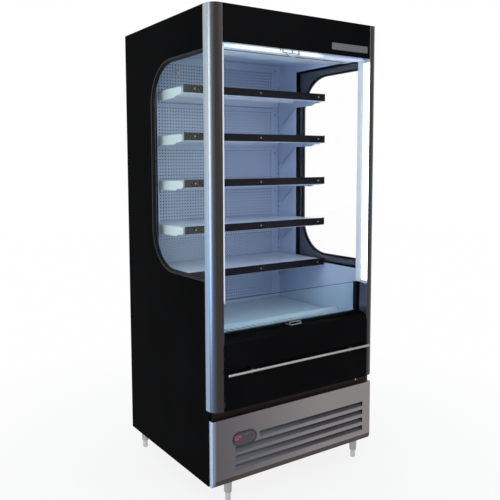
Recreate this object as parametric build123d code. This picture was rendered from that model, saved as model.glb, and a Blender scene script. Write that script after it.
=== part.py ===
"""Open multideck display fridge, free-standing, with five lift-off shelves and a night curtain.

Millimetres, +Z up, +X to the right of someone facing the opening, the opening at -Y.
The origin is on the floor, under the middle of the whole fridge.
"""
from build123d import *
import math
import os

# ------------------------------------------------------------------ whole cabinet
cabinet_width = 890.0
cabinet_depth = 754.0        # from the post fronts to the back
cabinet_height = 2000.0
leg_height = 101.0           # floor to the underside of the cabinet
machine_bay_height = 313.0   # from there up to the foot of the posts
side_thickness = 45.0
back_thickness = 45.0
roof_thickness = 40.0
sheet = 2.0                  # formed sheet metal
fit = 0.3                    # gap between pieces that seat on each other

# ------------------------------------------------------------------ front posts
post_radius = 42.0
post_wing = 12.0             # straight side wing behind the corner
post_wall = 3.0
cheek_thickness = 8.0        # inner face of the post, which carries the lamp
cheek_overlap = 18.0         # how far the cheek reaches behind the wing

# ------------------------------------------------------------------ side windows
window_bottom = 933.0
window_top_gap = 22.0        # header bottom to the top of the window
window_depth = 445.0         # from the post back to the rear edge
window_radius = 180.0
liner_thickness = 3.0
pane_thickness = 5.0
gasket_thickness = 4.0
trim_thickness = 10.0
trim_width = 12.0
trim_bevel = 6.0
gasket_width = 14.0
spacer_width = 8.0
mask_inset = 4.0             # dark plate reaching past the edge of the outer pane's seat
mask_thickness = 3.0
mask_margin = 28.0           # square recess above and below the window
mask_rear_margin = 18.0
border_width = 26.0          # raised border of the white liner round the plate
border_rise = 1.2

# ------------------------------------------------------------------ lamps
post_lamp_width = 27.0
canopy_lamp_width = 40.0
lamp_thickness = 8.0
lamp_edge = 2.0              # from the post front to the lamp
post_lamp_bottom = 850.0
post_lamp_top_gap = 7.0      # header bottom to the top of the lamp
canopy_lamp_margin = 12.0    # from the cheek to each end of the top lamp
lamp_round = 3.0

# ------------------------------------------------------------------ header and night curtain
header_height = 143.0
header_lip = 6.0
roller_radius = 20.0
wound_thickness = 2.4        # web wound on the tube
curtain_setback = 15.0       # from the header front to the hanging web
roller_drop = 75.0           # from the roof to the roller's axis
roller_pin_radius = 5.0
bearing_plate = 3.0
web_thickness = 0.6
bar_thickness = 10.0
bar_height = 14.0
bar_clearance = 24.0         # from the cheek to each end of the bar
handle_center = -38.0        # off to the left, above the catch
handle_bow_half = 37.0
handle_drop = 29.0           # header bottom to the lowest point of the bow
handle_strand_drop = 13.0
handle_wire = 5.0
handle_bow_wire = 4.6
handle_post_width = 4.0
handle_posts = (-50.0, 0.0, 34.0)    # from the middle of the handle
handle_clip = -63.0
handle_clip_drop = 8.0
catch_center = -16.0
catch_width = 64.0
catch_wire = 4.0
catch_upper_wire = 3.6
catch_reach = 22.0           # legs that stand out over the rolled edge
catch_lean = 7.0             # the upper wire stands behind the lower one
catch_rise = 10.0
catch_foot = 10.0

# ------------------------------------------------------------------ ceiling and air outlet
canopy_setback = 27.0        # front edge of the ceiling, behind the curtain slot
outlet_setback = 68.0
outlet_length = 86.0
ceiling_rise = 54.0          # slope up to the back
honeycomb_height = 18.0
honeycomb_columns = 26
honeycomb_rows = 4
honeycomb_web = 3.0

# ------------------------------------------------------------------ rear duct and shelves
duct_depth = 62.0            # between the perforated panel and the foamed back
upright_width = 24.0
slot_width = 4.0
slot_height = 15.0
slot_pitch = 25.0
shelf_count = 5
top_shelf_drop = 127.0       # header bottom to the top shelf
lowest_shelf_rise = 250.0    # deck to the lowest shelf
duct_field_margin = 12.0
duct_field_relief = 1.0
shelf_reach = 358.0          # from the perforated panel to the front of the price rail
bracket_thickness = 2.5
bracket_top = 6.0            # below the shelf level
bracket_nose = 39.0
bracket_depth = 48.0
bracket_root = 131.0
bracket_setback = 14.0       # from the pan's front edge to the bracket's nose
bracket_rake = 10.0
bracket_tip = 25.0           # below the shelf level
bracket_chin = 14.0
bracket_nose_length = 46.0
bracket_step_run = 24.0
gusset_start = 134.0         # from the perforated panel
gusset_end = 50.0
hook_drop = 18.0             # from the shelf level to the bottom of its slot
hook_neck = 10.0
hook_tip = 8.0
hook_thickness = 4.0
hook_play = 1.5
lower_tab_slots = 4
pan_thickness = 1.5
pan_flange = 30.0
pan_rib_height = 16.0
pan_rib_width = 30.0
price_rail_height = 33.0
price_rail_depth = 8.0
price_rail_grooves = 3
price_rail_groove_depth = 1.5
price_rail_end_gap = 9.0     # from the side wall to each end of the rail

# ------------------------------------------------------------------ well, deck and riser
deck_level = 680.0
deck_lip = 28.0
deck_lip_depth = 53.0        # whole front upstand of the deck
deck_lip_end = 12.0
deck_setback = 187.0
tub_wall = 36.0
tub_floor = 40.0
well_sill_level = 706.0
drain_radius = 9.0
sill_height = 8.0
riser_setback = 66.0
riser_thickness = 6.0
riser_height = 136.0
riser_seat = 4.0             # how far the glass stands in its sill
riser_channel_depth = 20.0
riser_channel_width = 6.0
riser_channel_lip = 3.0
riser_channel_web = 2.0
return_slots = 26
return_slot_width = 9.0
return_slot_margin = 14.0

# ------------------------------------------------------------------ lower front
front_panel_proud = 4.0
front_panel_radius = 38.0
front_panel_return = 18.0
bumper_level = 565.0
bumper_radius = 5.5
bumper_reach = 29.0          # from the post fronts to the front of the rail
bumper_end_gap = 4.0
bumper_post_radius = 12.0
bumper_post_spacing = 540.0

# ------------------------------------------------------------------ machine bay front
grille_setback = 14.0
grille_height = 274.0
grille_edge = 4.0            # from the side of the cabinet
grille_reach = 41.0          # from the post fronts to the side panels below the posts
grille_kick = 30.0           # height of the lower bend
grille_kick_depth = 9.0
grille_corner_radius = 8.0
kick_setback = 32.0
kick_edge = 17.0
louvre_left = -331.0
louvre_right = 387.0
louvre_top_left = -209.0     # the top slot starts to the right of the controller
louvre_height = 22.5
louvre_pitch = 38.0
louvre_bottom = 151.0
louvre_count = 4
louvre_depth = 20.0
louvre_lift = 13.0
controller_x = -284.5
controller_z = 277.0
controller_width = 117.0
controller_height = 58.0
controller_proud = 3.0
controller_rim = 6.0
controller_body_depth = 40.0
key_radius = 4.5
key_travel = 1.2
key_proud = 1.0
key_spacing = 18.0
key_offset = 22.0

# ------------------------------------------------------------------ legs
leg_inset_front_left = 113.0     # the left front leg stands further in, beside the controls
leg_inset_front_right = 60.0
leg_inset_rear = 48.0
leg_setback_front = 70.5
leg_setback_rear = 42.5
sleeve_top_radius = 18.5
sleeve_bottom_radius = 15.5
foot_radius = 11.5
foot_height = 36.0
foot_stem_radius = 6.0
foot_stem_length = 45.0

# ------------------------------------------------------------------ machinery
rail_height = 25.0
rail_width = 40.0
side_rail_width = 106.0
condenser_width = 430.0
condenser_height = 210.0
condenser_depth = 80.0
condenser_x = -90.0
condenser_setback = 66.0
coil_fins = 24
coil_fin = 1.5
coil_core_inset = 4.0
coil_bends = 3
coil_tube = 5.0
coil_bend_radius = 18.0
condenser_fan_radius = 92.0
evaporator_fan_radius = 68.0
evaporator_fan_spacing = 380.0
fan_hub_radius = 24.0
fan_hub_length = 26.0
fan_blades = 5
fan_blade_thickness = 1.6
fan_shaft_radius = 4.0
fan_tip_gap = 4.0
fan_ring_depth = 34.0
fan_ring_wall = 2.5
fan_motor_radius = 30.0
fan_motor_length = 45.0
motor_bar_height = 16.0
motor_bar_thickness = 5.0
compressor_side_gap = 190.0   # from the cabinet's side to the compressor's axis
compressor_setback = 480.0
compressor_radius = 78.0
compressor_height = 175.0
evaporator_height = 120.0
evaporator_depth = 250.0
evaporator_end_gap = 40.0
fan_plate_setback = 215.0
evaporator_setback = 335.0
evaporator_lift = 30.0
drain_pan_height = 30.0
drain_pan_width = 380.0
drain_pan_depth = 330.0
drain_pan_setback = 330.0
cover_margin = 2.0
cover_louvres = 7
cover_louvre_width = 260.0
cover_louvre_gap = 10.0

# ------------------------------------------------------------------ planes worked out from the sizes
half_width = cabinet_width / 2
wall_face = half_width - side_thickness          # inner face of each side wall
cheek_face = wall_face - cheek_thickness
x_inner_pane = wall_face + liner_thickness
x_trim = half_width - trim_thickness
x_gasket = x_trim - gasket_thickness
x_outer_pane = x_gasket - pane_thickness
y_back = (cabinet_depth + bumper_reach) / 2
y_front = y_back - cabinet_depth                 # front of the posts
bay_top = leg_height + machine_bay_height        # foot of the posts
roof_underside = cabinet_height - roof_thickness
y_post_back = y_front + post_radius + post_wing
y_cheek_back = y_post_back + cheek_overlap
y_window_back = y_post_back + window_depth
y_back_face = y_back - back_thickness            # inner face of the foamed back
y_duct = y_back_face - duct_depth                # front of the perforated panel
header_bottom = cabinet_height - header_height
window_top = header_bottom - window_top_gap
post_lamp_top = header_bottom - post_lamp_top_gap
lowest_shelf_level = deck_level + lowest_shelf_rise
shelf_span = header_bottom - top_shelf_drop - lowest_shelf_level
slots_per_shelf = int(shelf_span / (shelf_count - 1) / slot_pitch + 0.001)
y_curtain = y_front + curtain_setback
wound_radius = roller_radius + wound_thickness
y_roller = y_curtain + web_thickness / 2 + fit + wound_radius
z_roller = cabinet_height - roller_drop
bar_top = header_bottom + 1.0 + bar_height
y_riser = y_front + riser_setback
tub_floor_top = bay_top + tub_floor
front_panel_top = well_sill_level + fit + 5.0
base_top = leg_height + rail_height + sheet      # floor of the machine bay
y_grille = y_front + grille_setback
grille_top = leg_height + grille_height
compressor_x = half_width - compressor_side_gap


# ------------------------------------------------------------------ shape helpers
def block(x0, x1, y0, y1, z0, z1):
    """Box between six planes."""
    return Pos((x0 + x1) / 2, (y0 + y1) / 2, (z0 + z1) / 2) * Box(x1 - x0, y1 - y0, z1 - z0)


def area(x0, x1, y0, y1):
    """Flat rectangle between four lines."""
    return Pos((x0 + x1) / 2, (y0 + y1) / 2) * Rectangle(x1 - x0, y1 - y0)


def outline(*points):
    """Flat face with straight edges."""
    return make_face(Polyline(*points, close=True))


def along_x(profile, x0, x1):
    """Profile drawn in (y, z), pulled from x0 to x1."""
    return extrude(Plane.YZ.offset(x0) * profile, amount=x1 - x0)


def along_y(profile, y0, y1):
    """Profile drawn in (x, z), pulled from y0 to y1."""
    return extrude(Plane.XZ.offset(-y0) * profile, amount=y0 - y1)


def along_z(profile, z0, z1):
    """Profile drawn in (x, y), pulled from z0 to z1."""
    return extrude(Plane.XY.offset(z0) * profile, amount=z1 - z0)


def rod_x(radius, x0, x1, y, z):
    """Round bar along X."""
    return along_x(Pos(y, z) * Circle(radius), x0, x1)


def rod_y(radius, x, z, y0, y1):
    """Round bar along Y."""
    return along_y(Pos(x, z) * Circle(radius), y0, y1)


def rod_z(radius, x, y, z0, z1):
    """Round bar along Z."""
    return along_z(Pos(x, y) * Circle(radius), z0, z1)


def both_sides(part):
    """The part and its mirror image on the other side of the fridge."""
    return [part, mirror(part, Plane.YZ)]


# ------------------------------------------------------------------ walls
def window_outline(inset, overrun=0.0):
    """Window in the side view: rounded at the back, open towards the post."""
    shape = area(y_post_back - overrun, y_window_back - inset, window_bottom + inset, window_top - inset)
    rear_corners = shape.vertices().sort_by(Axis.X)[-2:]
    return fillet(rear_corners, window_radius - inset)


def recess_outline(margin, overrun=0.0):
    """Square-cornered recess round the window, in the side view."""
    rear = y_window_back + mask_rear_margin + margin
    low = window_bottom - mask_margin - margin
    high = window_top + mask_margin + margin
    return area(y_post_back - overrun, rear, low, high)


def side_panel():
    """Foamed side wall, cut back at the front for the post above and the grille below."""
    y_lower = y_front + grille_reach
    shape = outline(
        (y_lower, leg_height),
        (y_back, leg_height),
        (y_back, cabinet_height),
        (y_post_back, cabinet_height),
        (y_post_back, bay_top),
        (y_lower, bay_top),
    )
    shape -= window_outline(0, overrun=20)
    recess = along_x(recess_outline(0, overrun=20), x_inner_pane - 1, x_outer_pane)
    return along_x(shape, x_inner_pane, half_width) - recess


def side_liner():
    """White inner skin of the side wall, with a raised border round the window plate."""
    skin = area(y_post_back, y_back_face, bay_top, roof_underside) - recess_outline(0)
    border = recess_outline(border_width) - recess_outline(0)
    border -= area(y_post_back, y_cheek_back, bay_top, roof_underside)
    border -= above_ceiling()
    raised = along_x(border, wall_face - border_rise, wall_face)
    return along_x(skin, wall_face, wall_face + liner_thickness) + raised


def above_ceiling():
    """Everything over the ceiling's underside, in the side view."""
    y_slope = y_front + outlet_setback + outlet_length
    return outline(
        (y_front, header_bottom - fit),
        (y_slope, header_bottom - fit),
        (y_duct, header_bottom + ceiling_rise - fit),
        (y_duct, cabinet_height),
        (y_front, cabinet_height),
    )


def window_mask():
    """Dark plate behind the outer pane, with the rounded sight opening."""
    shape = recess_outline(0) - window_outline(mask_inset, overrun=20)
    return along_x(shape, x_outer_pane - mask_thickness, x_outer_pane)


def window_panes():
    """The square inner pane and the rounded outer pane of the sealed side window."""
    inner = along_x(recess_outline(0), x_inner_pane, x_inner_pane + pane_thickness)
    outer = along_x(window_outline(0), x_outer_pane, x_gasket)
    return [inner, outer]


def window_seals():
    """Spacer round the recess and the gasket in front of the outer pane."""
    spacer = recess_outline(0) - recess_outline(-spacer_width, overrun=20)
    gasket = window_outline(0) - window_outline(gasket_width, overrun=20)
    return [
        along_x(spacer, x_inner_pane + pane_thickness, x_outer_pane - mask_thickness),
        along_x(gasket, x_gasket, x_trim),
    ]


def window_trim():
    """Bevelled metal trim that holds the window in the side panel."""
    throat = Plane.YZ.offset(x_trim) * window_outline(trim_width, overrun=20)
    mouth = Plane.YZ.offset(half_width) * window_outline(trim_width - trim_bevel, overrun=20)
    return along_x(window_outline(0), x_trim, half_width) - loft([throat, mouth], ruled=True)


def post_corner(inset):
    """Post seen from above: two wings with a quarter round between them."""
    shape = area(wall_face + inset, half_width - inset, y_front + inset, y_post_back - inset)
    corner = shape.vertices().sort_by(Axis.X)[-2:].sort_by(Axis.Y)[:1]
    return fillet(corner, min(post_radius, side_thickness - 1) - inset)


def front_post():
    """Hollow corner post with the flat cheek that carries the lamp."""
    shell = along_z(post_corner(0), bay_top, cabinet_height)
    shell -= along_z(post_corner(post_wall), bay_top + post_wall, cabinet_height - post_wall)
    return shell + block(cheek_face, wall_face, y_front, y_cheek_back, bay_top, cabinet_height)


def roof_panel():
    """Foamed roof, narrower between the posts."""
    x_side = wall_face + liner_thickness
    wide = block(-x_side, x_side, y_cheek_back, y_back, roof_underside, cabinet_height)
    x_nose = cheek_face - fit
    nose = block(-x_nose, x_nose, y_front + sheet, y_cheek_back, roof_underside, cabinet_height)
    return wide + nose


def back_panel():
    """Foamed back above the machine bay."""
    x_side = wall_face + liner_thickness
    return block(-x_side, x_side, y_back_face, y_back, bay_top, roof_underside)


def machine_cover():
    """Louvred sheet over the back of the machine bay."""
    x_side = wall_face + liner_thickness - fit
    low = leg_height + cover_margin
    high = bay_top - cover_margin
    plate = block(-x_side, x_side, y_back - sheet, y_back, low, high)
    rim = block(-x_side, x_side, y_back - back_thickness, y_back - sheet, high - sheet, high)
    plate += rim
    span = (high - low) / (cover_louvres + 1)
    for row in range(cover_louvres):
        z = low + span * (row + 1)
        for x in (-x_side / 2, x_side / 2):
            half = cover_louvre_width / 2
            plate -= block(x - half, x + half, y_back - 2 * sheet, y_back, z, z + cover_louvre_gap)
            hood = outline(
                (y_back - sheet, z + cover_louvre_gap),
                (y_back - sheet - cover_louvre_gap, z),
                (y_back - sheet - cover_louvre_gap, z + sheet),
                (y_back - sheet, z + cover_louvre_gap + sheet),
            )
            plate += along_x(hood, x - half, x + half)
    return plate


# ------------------------------------------------------------------ header, lamps and curtain
def header_panel():
    """Black fascia with the two plates that carry the curtain roller."""
    x_side = cheek_face - fit
    fascia = block(-x_side, x_side, y_front, y_front + sheet, header_bottom, cabinet_height)
    lip_back = y_front + sheet + header_lip
    fascia += block(-x_side, x_side, y_front + sheet, lip_back, header_bottom, header_bottom + sheet)
    x_plate = x_side - bearing_plate - fit
    y_plate = y_roller + roller_radius
    low = z_roller - roller_radius
    plate = block(x_plate, x_plate + bearing_plate, y_front + sheet, y_plate, low, roof_underside)
    plate -= rod_x(roller_pin_radius + fit, x_plate - 1, x_side, y_roller, z_roller)
    for side in both_sides(plate):
        fascia += side
    return fascia


def lamp_bar(length, width):
    """Round-ended lamp lying along X, its back on z = 0 and its face below."""
    bar = extrude(SlotOverall(length, width), amount=-lamp_thickness)
    return fillet(bar.faces().sort_by(Axis.Z)[0].edges(), lamp_round)


def lamps():
    """Lamps on both post cheeks and under the front of the ceiling."""
    length = post_lamp_top - post_lamp_bottom
    y_mid = y_front + lamp_edge + post_lamp_width / 2
    z_mid = (post_lamp_top + post_lamp_bottom) / 2
    on_post = Pos(cheek_face, y_mid, z_mid) * (Rot(0, 90, 0) * lamp_bar(length, post_lamp_width))
    canopy = lamp_bar(2 * (cheek_face - canopy_lamp_margin), canopy_lamp_width)
    y_canopy = y_front + canopy_setback + canopy_lamp_width / 2
    return both_sides(on_post) + [Pos(0, y_canopy, header_bottom) * canopy]


def curtain_roller():
    """Spring roller with the curtain wound on it, and its two pins."""
    x_plate = cheek_face - 2 * fit - bearing_plate
    x_tube = x_plate - 2.0
    roller = rod_x(wound_radius, -x_tube, x_tube, y_roller, z_roller)
    x_pin = x_plate + bearing_plate
    return roller + rod_x(roller_pin_radius, -x_pin, x_pin, y_roller, z_roller)


def curtain_half_width():
    """Half the width of the web and its bar."""
    return cheek_face - bar_clearance


def curtain_web():
    """The part of the web that hangs between the roller and the bar."""
    x = curtain_half_width()
    y0 = y_curtain - web_thickness / 2
    return block(-x, x, y0, y0 + web_thickness, bar_top, z_roller)


def curtain_bar():
    """Weighted bar at the bottom of the curtain with its bow handle."""
    x = curtain_half_width()
    bar_low = bar_top - bar_height
    half = bar_thickness / 2
    profile = area(y_curtain - half, y_curtain + half, bar_low, bar_top)
    bar = along_x(fillet(profile.vertices(), 2.0), -x, x)
    wire = handle_wire / 2
    bow_wire = handle_bow_wire / 2
    z_strand = header_bottom - handle_strand_drop
    path = ThreePointArc(
        (handle_center - handle_bow_half, y_curtain, z_strand),
        (handle_center, y_curtain, header_bottom - handle_drop + bow_wire),
        (handle_center + handle_bow_half, y_curtain, z_strand),
    )
    bar += sweep(Plane(path @ 0, z_dir=path % 0) * Circle(bow_wire), path=path)
    x_left = handle_center + handle_posts[0] - wire
    bar += rod_x(wire, x_left, handle_center + handle_bow_half + wire, y_curtain, z_strand)
    for offset in handle_posts:
        bar += post_under_bar(handle_center + offset, z_strand)
    return bar + post_under_bar(handle_center + handle_clip, header_bottom - handle_clip_drop)


def post_under_bar(x, z_low):
    """Small post that hangs from the curtain's bar."""
    half = handle_post_width / 2
    z_high = bar_top - bar_height + 1
    return block(x - half, x + half, y_curtain - half, y_curtain + half, z_low, z_high)


def curtain_catch():
    """Wire loop that stands over the rolled edge of the front panel and takes the curtain's handle."""
    x0 = catch_center - catch_width / 2 + catch_wire / 2
    x1 = catch_center + catch_width / 2 - catch_wire / 2
    y0 = y_front + front_panel_radius - front_panel_proud
    z0 = front_panel_top + catch_wire / 2
    legs = FilletPolyline(
        (x0, y0 + catch_foot, z0),
        (x0, y0 - catch_reach, z0),
        (x1, y0 - catch_reach, z0),
        (x1, y0 + catch_foot, z0),
        radius=6.0,
    )
    catch = sweep(Plane(legs @ 0, z_dir=legs % 0) * Circle(catch_wire / 2), path=legs)
    y1 = y0 - catch_reach + catch_lean
    bow = FilletPolyline(
        (x0, y1, z0),
        (x0, y1, z0 + catch_rise),
        (x1, y1, z0 + catch_rise),
        (x1, y1, z0),
        radius=4.0,
    )
    catch += sweep(Plane(bow @ 0, z_dir=bow % 0) * Circle(catch_upper_wire / 2), path=bow)
    for x in (x0, x1):
        catch += block(x - catch_wire, x + catch_wire, y0, y0 + catch_foot, front_panel_top, z0)
    return catch


# ------------------------------------------------------------------ ceiling and air outlet
def ceiling_panel():
    """Sheet under the air duct: flat over the lamp and outlet, then sloping up to the back."""
    x_side = wall_face - fit
    y0 = y_front + canopy_setback
    y1 = y_front + outlet_setback + outlet_length
    low = header_bottom
    shape = outline(
        (y0, low),
        (y1, low),
        (y_duct - fit, low + ceiling_rise),
        (y_duct - fit, low + ceiling_rise + sheet),
        (y1, low + sheet),
        (y0 + sheet, low + sheet),
        (y0 + sheet, low + 3 * sheet),
        (y0, low + 3 * sheet),
    )
    panel = along_x(shape, -x_side, x_side)
    top = low + ceiling_rise + 2 * sheet
    for notch in both_sides(block(cheek_face - fit, wall_face, y_front, y_cheek_back + fit, low - 1, top)):
        panel -= notch
    x_outlet = cheek_face - bar_clearance
    panel -= block(-x_outlet, x_outlet, y_front + outlet_setback, y1 - 2 * sheet, low - 1, low + sheet + 1)
    return panel


def air_honeycomb():
    """Cellular strip that straightens the falling air curtain."""
    x_side = cheek_face - bar_clearance - fit
    y0 = y_front + outlet_setback + fit
    y1 = y_front + outlet_setback + outlet_length - 2 * sheet - fit
    strip = block(-x_side, x_side, y0, y1, header_bottom, header_bottom + honeycomb_height)
    flange = 4.0
    strip += block(
        -x_side - flange,
        x_side + flange,
        y0 - flange,
        y1 + flange,
        header_bottom + sheet + fit,
        header_bottom + 2 * sheet + fit,
    )
    cell_x = (2 * x_side - honeycomb_web) / honeycomb_columns
    cell_y = (y1 - y0 - honeycomb_web) / honeycomb_rows
    cells = []
    for column in range(honeycomb_columns):
        for row in range(honeycomb_rows):
            x = -x_side + honeycomb_web + column * cell_x
            y = y0 + honeycomb_web + row * cell_y
            cells.append(area(x, x + cell_x - honeycomb_web, y, y + cell_y - honeycomb_web))
    return strip - along_z(Sketch(cells), header_bottom - 1, header_bottom + honeycomb_height + 1)


# ------------------------------------------------------------------ rear duct and shelves
def shelf_level(number):
    """Top of a shelf's price rail; shelf 1 is the top one."""
    return lowest_shelf_level + (shelf_count - number) * slots_per_shelf * slot_pitch


def slot_level(number):
    """Bottom of the upright's slot that holds a shelf's hook."""
    return shelf_level(number) - hook_drop


lowest_slot = slot_level(shelf_count) - lower_tab_slots * slot_pitch
highest_slot = slot_level(1) + 3 * slot_pitch
x_slot = wall_face - upright_width / 2


def duct_top():
    """Top edge of the perforated panel and the uprights, under the ceiling."""
    return header_bottom + ceiling_rise


def rear_duct_panel():
    """Pressed panels between the uprights, one above each shelf, with a relieved field."""
    x_side = wall_face - upright_width - fit
    edges = [deck_level + fit]
    edges += [shelf_level(number) - bracket_depth for number in range(shelf_count, 0, -1)]
    edges.append(duct_top())
    panels = []
    for low, high in zip(edges[:-1], edges[1:]):
        panel = block(-x_side, x_side, y_duct, y_duct + sheet, low, high - fit)
        margin = duct_field_margin
        panel -= block(
            -x_side + 2 * margin,
            x_side - 2 * margin,
            y_duct,
            y_duct + duct_field_relief,
            low + margin,
            high - margin,
        )
        panel += block(-x_side, x_side, y_duct + sheet, y_duct + 5 * sheet, high - fit - sheet, high - fit)
        panels.append(panel)
    return panels


def shelf_upright():
    """Slotted channel at the back corner that the shelf brackets hook into."""
    x0 = wall_face - upright_width
    x1 = wall_face - fit
    low = deck_level - deck_lip_depth + deck_lip
    profile = area(x0, x1, y_duct, y_back_face) - area(x0 + sheet, x1 - sheet, y_duct + sheet, y_back_face)
    channel = along_z(profile, low, duct_top())
    count = round((highest_slot - lowest_slot) / slot_pitch) + 1
    slots = []
    for index in range(count):
        z = lowest_slot + index * slot_pitch
        slots.append(area(x_slot - slot_width / 2, x_slot + slot_width / 2, z, z + slot_height))
    return channel - along_y(Sketch(slots), y_duct - 1, y_duct + sheet + 1)


def bracket_outline(level):
    """Side bracket with its hook and its lower tab, in the side view."""
    pivot = y_duct + sheet / 2
    slot = level - hook_drop
    face = pivot - sheet / 2 - (hook_play - sheet / 2)
    nose = y_duct - shelf_reach + price_rail_depth + bracket_setback
    y_step = nose + bracket_nose_length
    plate = outline(
        (nose + bracket_rake, level - bracket_top),
        (nose, level - bracket_tip),
        (nose + bracket_chin, level - bracket_nose),
        (y_step, level - bracket_nose),
        (y_step + bracket_step_run, level - bracket_depth),
        (y_duct - gusset_start, level - bracket_depth),
        (y_duct - gusset_end, level - bracket_root + 18),
        (y_duct - gusset_end + 16, level - bracket_root),
        (face, level - bracket_root),
        (face, slot),
        (pivot - 2 * sheet, slot),
        (pivot - 2 * sheet, level - bracket_top),
    )
    behind = pivot + sheet / 2 + 2.0
    hook = outline(
        (pivot - 2 * sheet - 1, slot + fit),
        (behind, slot + fit),
        (behind, slot - hook_tip),
        (behind + hook_thickness, slot - hook_tip),
        (behind + hook_thickness, slot + hook_neck),
        (pivot - 2 * sheet - 1, slot + hook_neck),
    )
    tab_low = slot - lower_tab_slots * slot_pitch + 2.0
    tab = area(face - 1, pivot + 5, tab_low, tab_low + hook_neck)
    return plate + hook + tab


def shelf(number):
    """Shelf pan welded between its two hook-on brackets."""
    level = shelf_level(number)
    x_in = x_slot - bracket_thickness / 2
    nose = y_duct - shelf_reach + price_rail_depth
    rear = y_duct - 3 * sheet
    top = level - bracket_top
    parts = block(-x_in, x_in, nose, rear, top - pan_thickness, top)
    parts += block(-x_in, x_in, nose, nose + pan_thickness, top - pan_flange, top)
    low = top - pan_flange
    parts += block(-x_in, x_in, nose, nose + 8 * pan_thickness, low, low + pan_thickness)
    parts += block(-x_in, x_in, rear - pan_thickness, rear, top - pan_flange, top)
    for share in (1 / 3, 2 / 3):
        y = nose + (rear - nose) * share
        parts += pan_rib(y, top - pan_thickness, x_in)
    for bracket in both_sides(along_x(bracket_outline(level), x_in, x_in + bracket_thickness)):
        parts += bracket
    return parts


def pan_rib(y, top, half_length):
    """Folded stiffener under a shelf pan."""
    half = pan_rib_width / 2
    outer = outline(
        (y - half, top),
        (y - half + 6, top - pan_rib_height),
        (y + half - 6, top - pan_rib_height),
        (y + half, top),
    )
    inner = outline(
        (y - half + pan_thickness, top),
        (y - half + 6 + pan_thickness / 2, top - pan_rib_height + pan_thickness),
        (y + half - 6 - pan_thickness / 2, top - pan_rib_height + pan_thickness),
        (y + half - pan_thickness, top),
    )
    return along_x(outer - inner, -half_length, half_length)


def price_rail(number):
    """Grooved rail along the front of a shelf."""
    level = shelf_level(number)
    y0 = y_duct - shelf_reach
    y1 = y0 + price_rail_depth
    low = level - price_rail_height
    profile = outline(
        (y0, low),
        (y1, low),
        (y1, level - bracket_top),
        (y1 - sheet, level - bracket_top),
        (y1 - sheet, level),
        (y0, level),
    )
    step = price_rail_height / (price_rail_grooves + 1)
    for index in range(price_rail_grooves):
        z = low + step * (index + 1)
        profile -= area(y0, y0 + price_rail_groove_depth, z - 1.2, z + 1.2)
    x_end = wall_face - price_rail_end_gap
    return along_x(profile, -x_end, x_end)


# ------------------------------------------------------------------ well, deck and riser
def insulated_tub():
    """Foamed floor and front wall of the cold well, with its drain spout."""
    x_front = cheek_face - fit
    y0 = y_front + tub_wall
    x_side = wall_face - fit
    floor = block(-x_side, x_side, y_cheek_back + fit, y_back_face, bay_top, tub_floor_top)
    wall = block(-x_front, x_front, y0, y0 + tub_wall, bay_top, well_sill_level)
    link = block(-x_front, x_front, y0, y_cheek_back + fit, bay_top, tub_floor_top)
    drain = y_front + drain_pan_setback + drain_pan_depth / 2
    tub = floor + wall + link
    tub += rod_z(drain_radius + 3, condenser_x, drain, bay_top - 40, bay_top)
    return tub - rod_z(drain_radius, condenser_x, drain, bay_top - 50, tub_floor_top + 1)


def deck_pan():
    """Bottom shelf with its front upstand."""
    x_side = wall_face - fit
    y0 = y_front + deck_setback
    pan = block(-x_side, x_side, y0, y_duct - fit, deck_level - sheet, deck_level)
    low = deck_level + deck_lip - deck_lip_depth
    pan += block(-x_side, x_side, y0, y0 + sheet, low, deck_level)
    x_lip = x_side - deck_lip_end
    pan += block(-x_lip, x_lip, y0, y0 + sheet, deck_level, deck_level + deck_lip)
    pan += block(-x_lip, x_lip, y0, y0 + 4 * sheet, deck_level + deck_lip - sheet, deck_level + deck_lip)
    return pan


def return_air_grille():
    """Slotted plate between the riser and the deck, through which the air goes back down."""
    x_side = wall_face - fit
    y0 = y_front + 2 * tub_wall
    y1 = y_front + deck_setback - fit
    z = deck_level + 12.0
    profile = outline(
        (y0 - 8, well_sill_level),
        (y0 + sheet, well_sill_level),
        (y0 + sheet, z),
        (y1 - sheet, z),
        (y1 - sheet, deck_level - 16),
        (y1, deck_level - 16),
        (y1, z + sheet),
        (y0 + 2 * sheet, z + sheet),
        (y0 + 2 * sheet, well_sill_level + sheet),
        (y0 - 8, well_sill_level + sheet),
    )
    profile = profile - area(y0 - 9, y0 + fit, well_sill_level - 1, well_sill_level + sheet + 1)
    plate = along_x(profile, -x_side, x_side)
    for notch in both_sides(block(cheek_face - fit, wall_face, y_front, y_cheek_back + fit, z - 40, z + 40)):
        plate -= notch
    span = 2 * (x_side - return_slot_margin)
    step = span / return_slots
    slots = []
    for index in range(return_slots):
        x = -span / 2 + step * (index + 0.5)
        half = return_slot_width / 2
        slots.append(area(x - half, x + half, y0 + return_slot_margin, y1 - return_slot_margin))
    return plate - along_z(Sketch(slots), z - 1, z + sheet + 1)


def riser_sill():
    """Bright sill on the tub's front wall, grooved for the glass."""
    x_side = cheek_face - fit
    y0 = y_front + front_panel_radius - front_panel_proud + 12.0
    y1 = y_front + 2 * tub_wall
    z0 = well_sill_level
    sill = block(-x_side, x_side, y_riser - 4, y1, z0, z0 + sill_height)
    groove = block(
        -x_side,
        x_side,
        y_riser - fit,
        y_riser + riser_thickness - fit,
        z0 + sill_height - riser_seat,
        z0 + sill_height + 1,
    )
    tongue = block(-x_side, x_side, y0, y_riser - 4, z0, z0 + sheet)
    return sill + tongue - groove


def riser_glass():
    """Glass front of the well."""
    x_side = cheek_face - riser_channel_web - fit
    low = well_sill_level + sill_height - riser_seat
    return block(-x_side, x_side, y_riser, y_riser + riser_thickness - 2 * fit, low, low + riser_height)


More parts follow.
